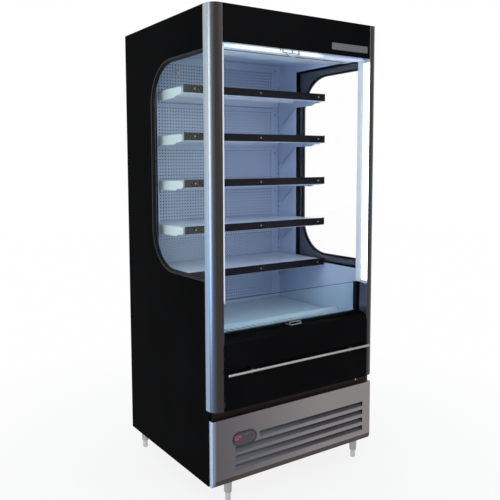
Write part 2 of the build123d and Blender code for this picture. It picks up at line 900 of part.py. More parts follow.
def riser_channel():
    """Dark channel that holds the end of the riser glass against the post."""
    low = well_sill_level + sill_height
    high = well_sill_level + sill_height - riser_seat + riser_height
    x0 = cheek_face - riser_channel_width
    y0 = y_riser - riser_channel_lip
    channel = block(x0, cheek_face, y0, y0 + riser_channel_depth, low, high)
    x1 = cheek_face - riser_channel_web
    groove = block(x0 - 1, x1, y_riser - fit, y_riser + riser_thickness - fit, low - 1, high + 1)
    return channel - groove


# ------------------------------------------------------------------ lower front
def lower_front_panel():
    """Black panel whose top edge rolls back towards the riser."""
    y0 = y_front - front_panel_proud
    y_top = y0 + front_panel_radius
    y_end = y_riser - 4 - fit
    outer = outline(
        (y0, bay_top),
        (y_end, bay_top),
        (y_end, front_panel_top),
        (y0, front_panel_top),
    )
    corner = outer.vertices().sort_by(Axis.X)[:2].sort_by(Axis.Y)[-1:]
    outer = fillet(corner, front_panel_radius)
    hollow = outline(
        (y0 + sheet, bay_top + sheet),
        (y_end + 1, bay_top + sheet),
        (y_end + 1, front_panel_top - sheet),
        (y0 + sheet, front_panel_top - sheet),
    )
    corner = hollow.vertices().sort_by(Axis.X)[:2].sort_by(Axis.Y)[-1:]
    hollow = fillet(corner, front_panel_radius - sheet)
    foot_opening = area(y0 + sheet + front_panel_return, y_end + 1, bay_top - 1, bay_top + sheet + 1)
    profile = outer - hollow - foot_opening
    x_side = cheek_face - fit
    return along_x(profile, -x_side, x_side)


def bumper_rail():
    """Bright rail across the front panel on two stand-offs."""
    x_end = cheek_face - bumper_end_gap
    y = y_front - bumper_reach + bumper_radius
    rail = rod_x(bumper_radius, -x_end, x_end, y, bumper_level)
    rail = fillet(rail.edges().filter_by(GeomType.CIRCLE), bumper_radius * 0.6)
    for x in (-bumper_post_spacing / 2, bumper_post_spacing / 2):
        rail += rod_y(bumper_post_radius, x, bumper_level, y + bumper_radius / 2, y_front - front_panel_proud)
    return rail


# ------------------------------------------------------------------ machine bay front
def controller_outline(inset):
    """Rounded outline of the controller, in the front view."""
    shape = SlotOverall(controller_width - 2 * inset, controller_height - 2 * inset)
    return Pos(controller_x, controller_z) * shape


def grille_panel():
    """Stainless front of the machine bay with four slanted louvres."""
    x_side = half_width - grille_edge
    y1 = y_grille + sheet
    profile = outline(
        (y_grille + grille_kick_depth, leg_height),
        (y_grille, leg_height + grille_kick),
        (y_grille, grille_top),
        (y_front + kick_setback, grille_top),
        (y_front + kick_setback, grille_top - sheet),
        (y1, grille_top - sheet),
        (y1, leg_height + grille_kick),
        (y1 + grille_kick_depth, leg_height),
    )
    panel = along_x(profile, -x_side, x_side)
    flank = outline(
        (y_grille + grille_kick_depth, leg_height),
        (y_grille, leg_height + grille_kick),
        (y_grille, grille_top),
        (y_front + kick_setback, grille_top),
        (y_front + grille_reach, grille_top),
        (y_front + grille_reach, leg_height),
    )
    for side in both_sides(along_x(flank, x_side - sheet, x_side)):
        panel += side
    upright = panel.edges().filter_by(Axis.Z)
    inner = upright.filter_by(lambda edge: abs(edge.center().X) > x_side - 2 * sheet)
    inner = inner.filter_by(lambda edge: abs(edge.center().Y - y1) < 0.1)
    panel = fillet(inner, grille_corner_radius - sheet)
    corners = panel.edges().filter_by(Axis.Z).group_by(Axis.Y)[0]
    panel = fillet(corners.filter_by(lambda edge: abs(edge.center().X) > x_side - 1), grille_corner_radius)
    slots = []
    blades = []
    for index in range(louvre_count):
        z = louvre_bottom + index * louvre_pitch
        left = louvre_top_left if index == louvre_count - 1 else louvre_left
        slots.append(area(left, louvre_right, z, z + louvre_height))
        blade = outline(
            (y1 - 0.5, z - 1.0),
            (y1 + louvre_depth, z + louvre_lift),
            (y1 + louvre_depth, z + louvre_lift + sheet),
            (y1 - 0.5, z + 1.0),
        )
        blades.append(along_x(blade, left - 4, louvre_right + 4))
    panel -= along_y(Sketch(slots), y_grille - 1, y1 + 1)
    for blade in blades:
        panel += blade
    return panel - along_y(controller_outline(controller_rim), y_grille - 1, y1 + 1)


def key_centers():
    """Middle of each controller key, in the front view."""
    return [
        (controller_x + key_offset, controller_z),
        (controller_x + key_offset + key_spacing, controller_z),
    ]


def controller():
    """Temperature controller: rounded bezel in front, body behind the panel."""
    bezel = along_y(controller_outline(0), y_grille - controller_proud, y_grille)
    front_face = bezel.faces().sort_by(Axis.Y)[0]
    bezel = fillet(front_face.edges(), 1.5)
    y_deep = y_grille + controller_body_depth
    body = along_y(controller_outline(controller_rim + fit), y_grille, y_deep)
    unit = bezel + body
    for x, z in key_centers():
        unit -= rod_y(key_radius + fit, x, z, y_grille - controller_proud - 1, y_grille + 6)
    return unit


def controller_key(index):
    """Small round push key in the bezel."""
    x, z = key_centers()[index]
    face = y_grille - controller_proud - key_proud
    key = rod_y(key_radius, x, z, face, y_grille + 6 - key_travel - fit)
    return fillet(key.faces().sort_by(Axis.Y)[0].edges(), 0.5)


# ------------------------------------------------------------------ base and legs
def leg_centers():
    """Middle of each leg: front left, front right, rear left, rear right."""
    y0 = y_front + leg_setback_front
    y1 = y_back - leg_setback_rear
    x_rear = half_width - leg_inset_rear
    front = [(leg_inset_front_left - half_width, y0), (half_width - leg_inset_front_right, y0)]
    return front + [(-x_rear, y1), (x_rear, y1)]


def base_frame():
    """Welded frame: side rails, cross rails, bay floor, front uprights and kick channel."""
    x_side = wall_face + liner_thickness - fit
    y0 = y_front + grille_reach
    y1 = y_back - back_thickness
    z1 = leg_height + rail_height
    frame = block(-x_side, x_side, y0, y1, z1, base_top)
    for rail in both_sides(block(x_side - side_rail_width, x_side, y0, y1, leg_height, z1)):
        frame += rail
    for y in (y0, y1 - rail_width):
        frame += block(-x_side, x_side, y, y + rail_width, leg_height, z1)
    for stile in both_sides(block(x_side - rail_width, x_side, y0, y0 + sheet, base_top, bay_top)):
        frame += stile
    x_kick = half_width - kick_edge
    y_kick = y_front + kick_setback
    frame += block(-x_kick, x_kick, y_kick + fit, y0, grille_top - 3 * sheet, bay_top)
    frame += block(-x_side, x_side, y0, y0 + rail_width, bay_top - 2 * sheet, bay_top)
    return frame


def leg_sleeve(x, y):
    """Tapered leg sleeve under the frame, bored for the foot's stem."""
    low = foot_height + fit
    sleeve = loft([
        Plane.XY.offset(low) * (Pos(x, y) * Circle(sleeve_bottom_radius)),
        Plane.XY.offset(leg_height) * (Pos(x, y) * Circle(sleeve_top_radius)),
    ])
    return sleeve - rod_z(foot_stem_radius + fit, x, y, low - 1, foot_height + foot_stem_length + 3)


def foot(x, y):
    """Screw-in levelling foot."""
    pad = rod_z(foot_radius, x, y, 0, foot_height)
    pad = chamfer(pad.edges().filter_by(GeomType.CIRCLE), 1.5)
    return pad + rod_z(foot_stem_radius, x, y, foot_height - 1, foot_height + foot_stem_length)


# ------------------------------------------------------------------ machinery
def coil(x0, x1, y0, y1, z0, z1):
    """Finned coil: close-packed core, protruding fins, end plates and return bends."""
    inset = coil_core_inset
    body = block(x0, x1, y0 + inset, y1 - inset, z0 + inset, z1 - inset)
    pitch = (x1 - x0 - coil_fin) / (coil_fins - 1)
    for index in range(coil_fins):
        x = x0 + index * pitch
        body += block(x, x + coil_fin, y0, y1, z0, z1)
    y_mid = (y0 + y1) / 2
    for index in range(coil_bends):
        z = z0 + (z1 - z0) * (index + 1) / (coil_bends + 1)
        ring = Pos(x1, y_mid, z) * Torus(coil_bend_radius, coil_tube)
        body += ring & block(x1, x1 + 2 * coil_bend_radius, y0, y1, z0, z1)
    return body


def condenser_coil():
    """Condenser standing behind the grille."""
    x0 = condenser_x - condenser_width / 2
    y0 = y_front + condenser_setback
    return coil(x0, x0 + condenser_width, y0, y0 + condenser_depth, base_top, base_top + condenser_height)


def evaporator_coil():
    """Evaporator standing in the well on two feet."""
    x_side = wall_face - evaporator_end_gap
    y0 = y_front + evaporator_setback
    z0 = tub_floor_top + evaporator_lift
    body = coil(-x_side, x_side, y0, y0 + evaporator_depth, z0, z0 + evaporator_height)
    for x in (-x_side / 2, x_side / 2):
        body += block(x, x + 20, y0 + 20, y0 + evaporator_depth - 20, tub_floor_top, z0 + coil_core_inset)
    return body


def fan_wheel(x, y, z, radius):
    """Axial fan wheel, its axis along Y and its hub open for the shaft."""
    wheel = Cylinder(fan_hub_radius, fan_hub_length)
    wheel = fillet(wheel.faces().sort_by(Axis.Z)[0].edges(), 4.0)
    tip = radius - fan_tip_gap
    sections = []
    for reach, angle, chord in ((fan_hub_radius - 2, 52, 0.85), (tip, 26, 1.35)):
        lean = math.radians(angle)
        station = Plane(origin=(0, 0, reach), x_dir=(math.cos(lean), math.sin(lean), 0), z_dir=(0, 0, 1))
        sections.append(station * Rectangle(chord * fan_hub_length, fan_blade_thickness))
    blade = Rot(90, 0, 0) * loft(sections)
    for index in range(fan_blades):
        wheel += Rot(0, 0, 360 / fan_blades * index) * blade
    bore_base = (Align.CENTER, Align.CENTER, Align.MIN)
    wheel -= Cylinder(fan_shaft_radius + fit, fan_hub_length - 8, align=bore_base)
    return Pos(x, y, z) * (Rot(-90, 0, 0) * wheel)


def fan_plate(x0, x1, y, z0, z1, centers, radius):
    """Sheet with a ringed opening for each fan."""
    plate = block(x0, x1, y, y + sheet, z0, z1)
    for x, z in centers:
        plate += rod_y(radius + fan_ring_wall, x, z, y, y + fan_ring_depth)
        plate -= rod_y(radius, x, z, y - 1, y + fan_ring_depth + 1)
    return plate


def fan_motor(x, y_ring, z, radius):
    """Motor behind the wheel on a bar across the ring, with its shaft."""
    motor = rod_y(fan_motor_radius, x, z, y_ring, y_ring + fan_motor_length)
    motor = fillet(motor.faces().sort_by(Axis.Y)[-1].edges(), 6.0)
    reach = radius + fan_ring_wall
    half = motor_bar_height / 2
    motor += block(x - reach, x + reach, y_ring, y_ring + motor_bar_thickness, z - half, z + half)
    return motor + rod_y(fan_shaft_radius, x, z, y_ring - fan_hub_length / 2 - 4, y_ring + 1)


y_condenser_plate = y_front + condenser_setback + condenser_depth
condenser_fan_z = base_top + condenser_height / 2
y_evaporator_plate = y_front + fan_plate_setback
evaporator_fan_z = (tub_floor_top + deck_level - sheet) / 2


def wheel_y(y_plate):
    """Middle of a fan wheel inside its ring."""
    return y_plate + fan_ring_depth - fan_hub_length / 2 - 4


def condenser_shroud():
    """Shroud on the back of the condenser."""
    x0 = condenser_x - condenser_width / 2
    centers = [(condenser_x, condenser_fan_z)]
    top = base_top + condenser_height
    x1 = x0 + condenser_width
    return fan_plate(x0, x1, y_condenser_plate, base_top, top, centers, condenser_fan_radius)


def evaporator_fan_centers():
    """Middle of the two fans in the well, in the front view."""
    half = evaporator_fan_spacing / 2
    return [(-half, evaporator_fan_z), (half, evaporator_fan_z)]


def evaporator_fan_plate():
    """Partition in the well that carries two fans and the front of the deck."""
    x_side = wall_face - fit
    top = deck_level - sheet
    centers = evaporator_fan_centers()
    return fan_plate(-x_side, x_side, y_evaporator_plate, tub_floor_top, top, centers, evaporator_fan_radius)


def fan_motors():
    """Motors of the condenser fan and the two evaporator fans."""
    y_behind = y_condenser_plate + fan_ring_depth
    motors = [fan_motor(condenser_x, y_behind, condenser_fan_z, condenser_fan_radius)]
    for x, z in evaporator_fan_centers():
        motors.append(fan_motor(x, y_evaporator_plate + fan_ring_depth, z, evaporator_fan_radius))
    return motors


def compressor():
    """Hermetic compressor: domed shell on a foot plate with its terminal box and stubs."""
    y = y_front + compressor_setback
    z0 = base_top + 14
    shell = rod_z(compressor_radius, compressor_x, y, z0, z0 + compressor_height)
    shell = fillet(shell.edges().filter_by(GeomType.CIRCLE), 30.0)
    half = compressor_radius + 12
    plate = block(compressor_x - half, compressor_x + half, y - half, y + half, z0 - 4, z0)
    body = shell + plate
    for sx in (-1, 1):
        for sy in (-1, 1):
            body += rod_z(9.0, compressor_x + sx * (half - 12), y + sy * (half - 12), base_top, z0 - 4)
    body += block(
        compressor_x - 28,
        compressor_x + 28,
        y - compressor_radius - 22,
        y - compressor_radius + 12,
        z0 + 60,
        z0 + 125,
    )
    for sx in (-1, 1):
        stub_foot = z0 + compressor_height - 30
        body += rod_z(4.8, compressor_x + sx * 30, y + 20, stub_foot, stub_foot + 56)
    return body


def drain_pan():
    """Tray on the bay floor that catches the melt water under the drain spout."""
    x0 = condenser_x - drain_pan_width / 2
    y0 = y_front + drain_pan_setback
    outer = block(x0, x0 + drain_pan_width, y0, y0 + drain_pan_depth, base_top, base_top + drain_pan_height)
    inner = block(
        x0 + sheet,
        x0 + drain_pan_width - sheet,
        y0 + sheet,
        y0 + drain_pan_depth - sheet,
        base_top + sheet,
        base_top + drain_pan_height + 1,
    )
    return outer - inner


# ------------------------------------------------------------------ assembly
def mirrored(parts):
    """Every part of a list, and its mirror image."""
    return [copy for part in parts for copy in both_sides(part)]


def build_nodes():
    """Every named piece of the fridge."""
    panel = side_panel()
    post = front_post()
    nodes = {
        "right_side_panel": panel,
        "left_side_panel": mirror(panel, Plane.YZ),
        "side_liners": mirrored([side_liner()]),
        "window_masks": mirrored([window_mask()]),
        "window_panes": mirrored(window_panes()),
        "window_seals": mirrored(window_seals()),
        "window_trims": mirrored([window_trim()]),
        "right_front_post": post,
        "left_front_post": mirror(post, Plane.YZ),
        "lamps": lamps(),
        "header_panel": header_panel(),
        "roof_panel": roof_panel(),
        "back_panel": back_panel(),
        "machine_cover": machine_cover(),
        "ceiling_panel": ceiling_panel(),
        "air_honeycomb": air_honeycomb(),
        "rear_duct_panels": rear_duct_panel(),
        "shelf_uprights": both_sides(shelf_upright()),
        "insulated_tub": insulated_tub(),
        "deck_pan": deck_pan(),
        "return_air_grille": return_air_grille(),
        "riser_sill": riser_sill(),
        "riser_glass": riser_glass(),
        "riser_channels": both_sides(riser_channel()),
        "lower_front_panel": lower_front_panel(),
        "bumper_rail": bumper_rail(),
        "curtain_catch": curtain_catch(),
        "curtain_roller": curtain_roller(),
        "curtain_web": curtain_web(),
        "curtain_bar": curtain_bar(),
        "grille_panel": grille_panel(),
        "controller": controller(),
        "base_frame": base_frame(),
        "leg_sleeves": [leg_sleeve(x, y) for x, y in leg_centers()],
        "compressor": compressor(),
        "condenser_coil": condenser_coil(),
        "condenser_shroud": condenser_shroud(),
        "evaporator_coil": evaporator_coil(),
        "evaporator_fan_plate": evaporator_fan_plate(),
        "fan_motors": fan_motors(),
        "drain_pan": drain_pan(),
    }
    nodes["condenser_fan"] = fan_wheel(
        condenser_x, wheel_y(y_condenser_plate), condenser_fan_z, condenser_fan_radius
    )
    for side, (x, z) in zip(("left", "right"), evaporator_fan_centers()):
        nodes[f"evaporator_fan_{side}"] = fan_wheel(x, wheel_y(y_evaporator_plate), z, evaporator_fan_radius)
    for number in range(1, shelf_count + 1):
        nodes[f"shelf_{number}"] = shelf(number)
        nodes[f"price_rail_{number}"] = price_rail(number)
    for place, (x, y) in zip(("front_left", "front_right", "rear_left", "rear_right"), leg_centers()):
        nodes[f"foot_{place}"] = foot(x, y)
    for index, name in enumerate(("key_down", "key_up")):
        nodes[name] = controller_key(index)
    return nodes


def main():
    """Write one STEP file for each piece."""
    os.makedirs("parts", exist_ok=True)
    for name, shape in build_nodes().items():
        if isinstance(shape, list):
            shape = Compound(children=shape)
        export_step(shape, f"parts/{name}.step")


if __name__ == "__main__":
    main()
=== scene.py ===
"""Looks of an open multideck display fridge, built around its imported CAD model.

Metres, +Z up, +X to the right of someone who faces the opening, the opening at -Y.
"""

import logging
import math
from collections.abc import Callable, Iterator, Mapping, Sequence
from contextlib import contextmanager
from dataclasses import dataclass, field
from enum import Enum
from functools import cached_property

import bmesh
import bpy
from mathutils import Matrix, Vector


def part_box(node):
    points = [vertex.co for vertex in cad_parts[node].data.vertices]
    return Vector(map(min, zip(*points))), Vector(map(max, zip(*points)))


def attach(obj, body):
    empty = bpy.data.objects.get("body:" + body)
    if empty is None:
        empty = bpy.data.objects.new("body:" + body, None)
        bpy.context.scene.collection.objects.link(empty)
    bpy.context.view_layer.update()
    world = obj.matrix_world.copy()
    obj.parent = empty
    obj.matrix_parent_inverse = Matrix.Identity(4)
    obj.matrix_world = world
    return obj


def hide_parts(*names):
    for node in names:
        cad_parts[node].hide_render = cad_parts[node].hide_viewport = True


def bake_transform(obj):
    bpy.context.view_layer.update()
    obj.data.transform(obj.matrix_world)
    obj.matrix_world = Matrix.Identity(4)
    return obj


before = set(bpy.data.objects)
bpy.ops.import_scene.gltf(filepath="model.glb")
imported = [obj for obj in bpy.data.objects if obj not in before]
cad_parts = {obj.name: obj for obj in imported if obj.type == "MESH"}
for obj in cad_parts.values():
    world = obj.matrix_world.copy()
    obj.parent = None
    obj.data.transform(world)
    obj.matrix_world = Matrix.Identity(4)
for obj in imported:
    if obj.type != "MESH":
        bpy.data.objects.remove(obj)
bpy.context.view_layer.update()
log = logging.getLogger("fridge")

Piece = bpy.types.Object
Socket = bpy.types.NodeSocket
Material = bpy.types.Material
Point = tuple[float, float, float]
Color = tuple[float, float, float]
Span = tuple[float, float]
NODES: Mapping[str, Piece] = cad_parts
RISER_EDGE = 0.0012
RISER_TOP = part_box("riser_glass")[1].z - RISER_EDGE
MERGE = 0.00005
DOUBLES = 0.00001
FLAT = 0.9
LEAST_DEPTH = 0.0004
SCRATCH_DEPTH = 0.00003
NOISE_SPAN = (0.3, 0.7)


# ------------------------------------------------------------------ options
class Grain(Enum):
    """The way a metal is brushed, as the density of its scratches along X, Y and Z."""

    ALONG_X = (4.0, 700.0, 700.0)
    ALONG_Z = (700.0, 700.0, 4.0)
    EVEN = (160.0, 160.0, 160.0)


class Facing(Enum):
    """The axis that a flat or round primitive looks along, as its rotation."""

    X = (0.0, math.pi / 2, 0.0)
    Y = (math.pi / 2, 0.0, 0.0)
    Z = (0.0, 0.0, 0.0)


# ------------------------------------------------------------------ materials
class NodeSheet:
    """The nodes of a procedural material or world in the making."""

    def __init__(self, owner: bpy.types.ID) -> None:
        """Empties the node tree of a new material or world.

        Args:
            owner: the material or world.
        """
        self.owner = owner
        owner.use_nodes = True
        self.tree = owner.node_tree
        self.tree.nodes.clear()

    @cached_property
    def place(self) -> Socket:
        """Where the surface lies in the object's own coordinates."""
        return self.node("ShaderNodeTexCoord").outputs["Object"]

    def node(
        self, kind: str, inputs: Mapping[str | int, object] | None = None, **settings: object
    ) -> bpy.types.Node:
        """Adds one node.

        Args:
            kind: Blender's type name of the node.
            inputs: value or link of each input socket, by name or number.
            settings: other properties of the node.

        Returns:
            The new node.
        """
        made = self.tree.nodes.new(kind)
        for name, value in settings.items():
            setattr(made, name, value)
        for name, value in (inputs or {}).items():
            socket = made.inputs[name]
            if isinstance(value, Socket):
                self.tree.links.new(value, socket)
            else:
                socket.default_value = (*value, 1.0) if socket.type == "RGBA" else value
        return made

    def axes(self) -> Sequence[Socket]:
        """The X, Y and Z of the surface in the object's own coordinates."""
        return self.node("ShaderNodeSeparateXYZ", {"Vector": self.place}).outputs

    def noise(self, density: float | Sequence[float], detail: float = 3.0) -> Socket:
        """Noise of about 0.3 to 0.7 in the object's own coordinates.

        Args:
            density: features per metre, all ways or along each axis.
            detail: how many finer layers it has.

        Returns:
            The noise.
        """
        scale = density if isinstance(density, tuple) else (density,) * 3
        mapping = self.node("ShaderNodeMapping", {"Vector": self.place, "Scale": scale})
        inputs = {"Vector": mapping.outputs[0], "Scale": 1.0, "Detail": detail}
        return self.node("ShaderNodeTexNoise", inputs).outputs["Fac"]

    def sum(self, kind: str, first: object, second: object = 0.0) -> Socket:
        """One step of arithmetic, by Blender's name of the operation."""
        return self.node("ShaderNodeMath", {0: first, 1: second}, operation=kind).outputs[0]

    def above(self, value: Socket, limit: float) -> Socket:
        """1 where a value is above a limit, and 0 elsewhere."""
        return self.sum("GREATER_THAN", value, limit)

    def below(self, value: Socket, limit: float) -> Socket:
        """1 where a value is below a limit, and 0 elsewhere."""
        return self.sum("LESS_THAN", value, limit)

    def both(self, first: object, second: object) -> Socket:
        """The product of two shares."""
        return self.sum("MULTIPLY", first, second)

    def rest(self, share: object) -> Socket:
        """What a share leaves of 1."""
        return self.sum("SUBTRACT", 1.0, share)

    def size(self, value: Socket, middle: float = 0.0) -> Socket:
        """How far a value lies from a middle value."""
        return self.sum("ABSOLUTE", self.sum("SUBTRACT", value, middle) if middle else value)

    def ramp(
        self, value: object, start: float, end: float, first: object = 0.0, last: object = 1.0
    ) -> Socket:
        """Carries one range over to another one, and stays at its ends outside it.

        Args:
            value: number that runs through the first range.
            start: start of the first range.
            end: end of the first range.
            first: result at the start.
            last: result at the end.

        Returns:
            The result.
        """
        inputs = {"Value": value, "From Min": start, "From Max": end, "To Min": first, "To Max": last}
        return self.node("ShaderNodeMapRange", inputs).outputs[0]

    def between(self, share: Socket, low: object, high: object) -> object:
        """Number that goes with a share from one to another, or the number itself where both are alike."""
        return low if low == high else self.ramp(share, 0.0, 1.0, low, high)

    def spread(self, noise: Socket, low: float, high: float) -> Socket:
        """Stretches noise over a range."""
        return self.ramp(noise, *NOISE_SPAN, low, high)

    def mix(self, share: object, first: object, second: object) -> Socket:
        """Mixes two colours by the share of the second one."""
        return self.node("ShaderNodeMix", {0: share, 6: first, 7: second}, data_type="RGBA").outputs[2]

    def tones(self, noise: Socket, dark: Color, pale: Color) -> Socket:
        """Colour that varies with noise between two tones."""
        return self.mix(self.spread(noise, 0.0, 1.0), dark, pale)

    def varied(self, noise: Socket, color: Color, share: float) -> Socket:
        """Colour that varies with noise by a share of itself."""
        return self.tones(noise, toned(color, 1 - share), toned(color, 1 + share))

    def scaled(self, color: object, shade: Socket) -> Socket:
        """A colour times a shade."""
        return self.node("ShaderNodeVectorMath", {0: color, "Scale": shade}, operation="SCALE").outputs[0]

    def bump(self, height: Socket, distance: float, strength: float = 0.5) -> Socket:
        """Small relief: the normal, bent by a pattern that rises by a distance in metres."""
        inputs = {"Height": height, "Distance": distance, "Strength": strength}
        return self.node("ShaderNodeBump", inputs).outputs[0]

    def surface(self, inputs: Mapping[str, object]) -> Socket:
        """The main shader, by the values and links of its sockets."""
        return self.node("ShaderNodeBsdfPrincipled", inputs).outputs[0]

    def blended(self, share: Socket, first: Socket, second: Socket) -> Socket:
        """Mixes two shaders by the share of the second one."""
        return self.node("ShaderNodeMixShader", {0: share, 1: first, 2: second}).outputs[0]

    def close(self, shader: Socket, kind: str = "ShaderNodeOutputMaterial") -> bpy.types.ID:
        """Connects the shader to the output and gives back the material or world."""
        self.node(kind, {"Surface": shader})
        return self.owner

    def painted(self, inputs: Mapping[str, object]) -> Material:
        """The finished material, by the values and links of its main shader."""
        return self.close(self.surface(inputs))


def toned(color: Color, factor: float) -> Color:
    """A colour made darker or paler, up to white."""
    return tuple(min(1.0, c * factor) for c in color)


@dataclass(frozen=True)
class Finish:
    """One finish of the fridge; each kind draws its own nodes."""

    name: str

    def material(self) -> Material:
        """The finish as a Blender material, made once."""
        found = bpy.data.materials.get(self.name)
        return found or self.draw(NodeSheet(bpy.data.materials.new(self.name)))

    def draw(self, sheet: NodeSheet) -> Material:
        """Draws the nodes of the finish on an empty sheet."""
        raise NotImplementedError


@dataclass(frozen=True)
class SprayedSteel(Finish):
    """Powder-coated sheet steel: slight orange peel, faint cloudiness and a clear gloss."""

    color: Color
    roughness: float = 0.35
    specular: float = 0.5
    gloss: float = 0.0
    cloud: float = 0.12

    def draw(self, sheet: NodeSheet) -> Material:
        """Draws the coat.

        Args:
            sheet: the empty sheet.

        Returns:
            The material.
        """
        clouds = sheet.noise(5.0, 4.0)
        return sheet.painted({
            "Base Color": sheet.varied(clouds, self.color, self.cloud),
            "Roughness": sheet.spread(clouds, self.roughness * 0.85, self.roughness * 1.15),
            "Specular IOR Level": self.specular,
            "Coat Weight": self.gloss,
            "Coat Roughness": 0.12,
            "Normal": sheet.bump(sheet.noise(420.0, 2.0), 0.00006, 0.35),
        })


@dataclass(frozen=True)
class BrushedMetal(Finish):
    """Metal with fine scratches one way and a slow change of tone."""

    color: Color
    grain: Grain = Grain.ALONG_X
    roughness: float = 0.3
    scratch: float = 0.16

    def draw(self, sheet: NodeSheet) -> Material:
        """Draws the scratches and the tones.

        Args:
            sheet: the empty sheet.

        Returns:
            The material.
        """
        scratches = sheet.noise(self.grain.value)
        slow = sheet.spread(sheet.noise(3.0, 2.0), self.roughness - 0.03, self.roughness + 0.03)
        return sheet.painted({
            "Base Color": sheet.varied(scratches, self.color, self.scratch),
            "Metallic": 1.0,
            "Roughness": sheet.sum("ADD", sheet.spread(scratches, -0.05, 0.05), slow),
            "Normal": sheet.bump(scratches, SCRATCH_DEPTH, 0.25),
        })


@dataclass(frozen=True)
class ZincCoat(Finish):
    """Galvanised sheet with its spangle, and where wanted a near-black painted shade on the faces in front of
    a given depth.
    """

    color: Color = (0.42, 0.44, 0.46)
    painted_duct_shade: Color = (0.004, 0.006, 0.01)
    painted_shade_to: float | None = None

    def draw(self, sheet: NodeSheet) -> Material:
        """Draws the spangle and the painted shade.

        Args:
            sheet: the empty sheet.

        Returns:
            The material.
        """
        cells = sheet.node("ShaderNodeTexVoronoi", {"Vector": sheet.place, "Scale": 85.0})
        tone = sheet.node("ShaderNodeSeparateColor", {"Color": cells.outputs["Color"]}).outputs[0]
        color, metallic = sheet.mix(tone, toned(self.color, 0.8), self.color), 1.0
        # Faces in front of the depth take a near-black painted shade instead of zinc.
        if self.painted_shade_to is not None:
            metallic = sheet.above(sheet.axes()[1], self.painted_shade_to)
            color = sheet.mix(metallic, self.painted_duct_shade, color)
        return sheet.painted({
            "Base Color": color,
            "Metallic": metallic,
            "Roughness": sheet.between(tone, 0.34, 0.55),
            "Normal": sheet.bump(sheet.noise(60.0), 0.0001, 0.2),
        })


@dataclass(frozen=True)
class MouldedPlastic(Finish):
    """Moulded plastic or rubber with a fine grain."""

    color: Color
    roughness: float = 0.45
    specular: float = 0.4
    relief: float = 0.00008

    def draw(self, sheet: NodeSheet) -> Material:
        """Draws the grain.

        Args:
            sheet: the empty sheet.

        Returns:
            The material.
        """
        slow = sheet.noise(12.0)
        return sheet.painted({
            "Base Color": sheet.tones(slow, self.color, toned(self.color, 1.2)),
            "Roughness": sheet.spread(slow, self.roughness - 0.06, self.roughness + 0.06),
            "Specular IOR Level": self.specular,
            "Normal": sheet.bump(sheet.noise(900.0, 2.0), self.relief, 0.3),
        })


@dataclass(frozen=True)
class ClearPane(Finish):
    """Flat, slightly wavy glass that lets the lamps' light through."""

    tint: Color = (1.0, 1.0, 1.0)
    # Painted reflection tint of the left pane.
    left_painted_reflection_tint: Color | None = None
    ior: float = 1.2
    edge_tint: Color = (0.02, 0.045, 0.045)
    edge_from: float | None = None

    def draw(self, sheet: NodeSheet) -> Material:
        """Draws the glass, where wanted a painted reflection tint on the left pane and a dark top edge, and
        the lamp-clear shadow.

        Args:
            sheet: the empty sheet.

        Returns:
            The material.
        """
        x, _, z = sheet.axes()
        color, through = self.tint, 1.0
        # The left pane takes a painted reflection tint.
        if self.left_painted_reflection_tint is not None:
            color = sheet.mix(sheet.below(x, 0.0), self.tint, self.left_painted_reflection_tint)
        if self.edge_from is not None:
            edge = sheet.above(z, self.edge_from)
            color, through = sheet.mix(edge, color, self.edge_tint), sheet.rest(edge)
        glass = sheet.surface({
            "Base Color": color,
            "Roughness": 0.0,
            "IOR": self.ior,
            "Transmission Weight": through,
            "Normal": sheet.bump(sheet.noise(9.0, 1.0), 0.0002, 0.03),
        })
        clear = sheet.node("ShaderNodeBsdfTransparent", {"Color": self.tint}).outputs[0]
        shadow = sheet.node("ShaderNodeLightPath").outputs["Is Shadow Ray"]
        return sheet.close(sheet.blended(shadow, glass, clear))


@dataclass(frozen=True)
class LampCover(Finish):
    """Lit opal covers: full on the posts, and lit over the middle of the header's lamp."""

    color: Color = (0.62, 0.8, 1.0)
    strength: float = 5.6
    rim_color: Color = (0.4, 0.42, 0.52)
    rim_to: float = -0.3588
    header_half: float = 0.382
    header_color: Color = (0.8, 0.9, 1.0)
    header_strength: float = 1.2
    lit_from: float = -0.312
    lit_to: float = 0.125
    fade: float = 0.05
    cover_to: float = -0.3085
    left_color: Color = (0.5, 0.62, 0.86)
    right_color: Color = (0.2, 0.27, 0.5)
    edge_color: Color = (0.27, 0.33, 0.48)

    def draw(self, sheet: NodeSheet) -> Material:
        """Draws the glow, a little uneven where the diodes sit.

        Args:
            sheet: the empty sheet.

        Returns:
            The material.
        """
        x, y, _ = sheet.axes()
        header = sheet.below(sheet.size(x), self.header_half)
        lit, unlit = (
            sheet.ramp(x, v - self.fade / 2, v + self.fade / 2) for v in (self.lit_from, self.lit_to))
        glow = sheet.mix(lit, self.left_color, Vector(self.header_color) * self.header_strength)
        glow = sheet.mix(unlit, glow, self.right_color)
        glow = sheet.mix(sheet.above(y, self.cover_to), glow, self.edge_color)
        rim = sheet.both(sheet.below(y, self.rim_to), sheet.below(x, 0.0))
        post = sheet.mix(rim, Vector(self.color) * self.strength, self.rim_color)
        uneven = sheet.spread(sheet.noise((1.0, 1.0, 60.0), 1.0), 0.92, 1.08)
        return sheet.painted({
            "Base Color": (0.5, 0.52, 0.55),
            "Roughness": 0.35,
            "Emission Color": sheet.mix(header, post, glow),
            "Emission Strength": sheet.between(header, uneven, 1.0),
        })


@dataclass(frozen=True)
class Coat:
    """Colour and sheen of one surface of a part that has two."""

    color: Color
    metallic: float
    roughness: float


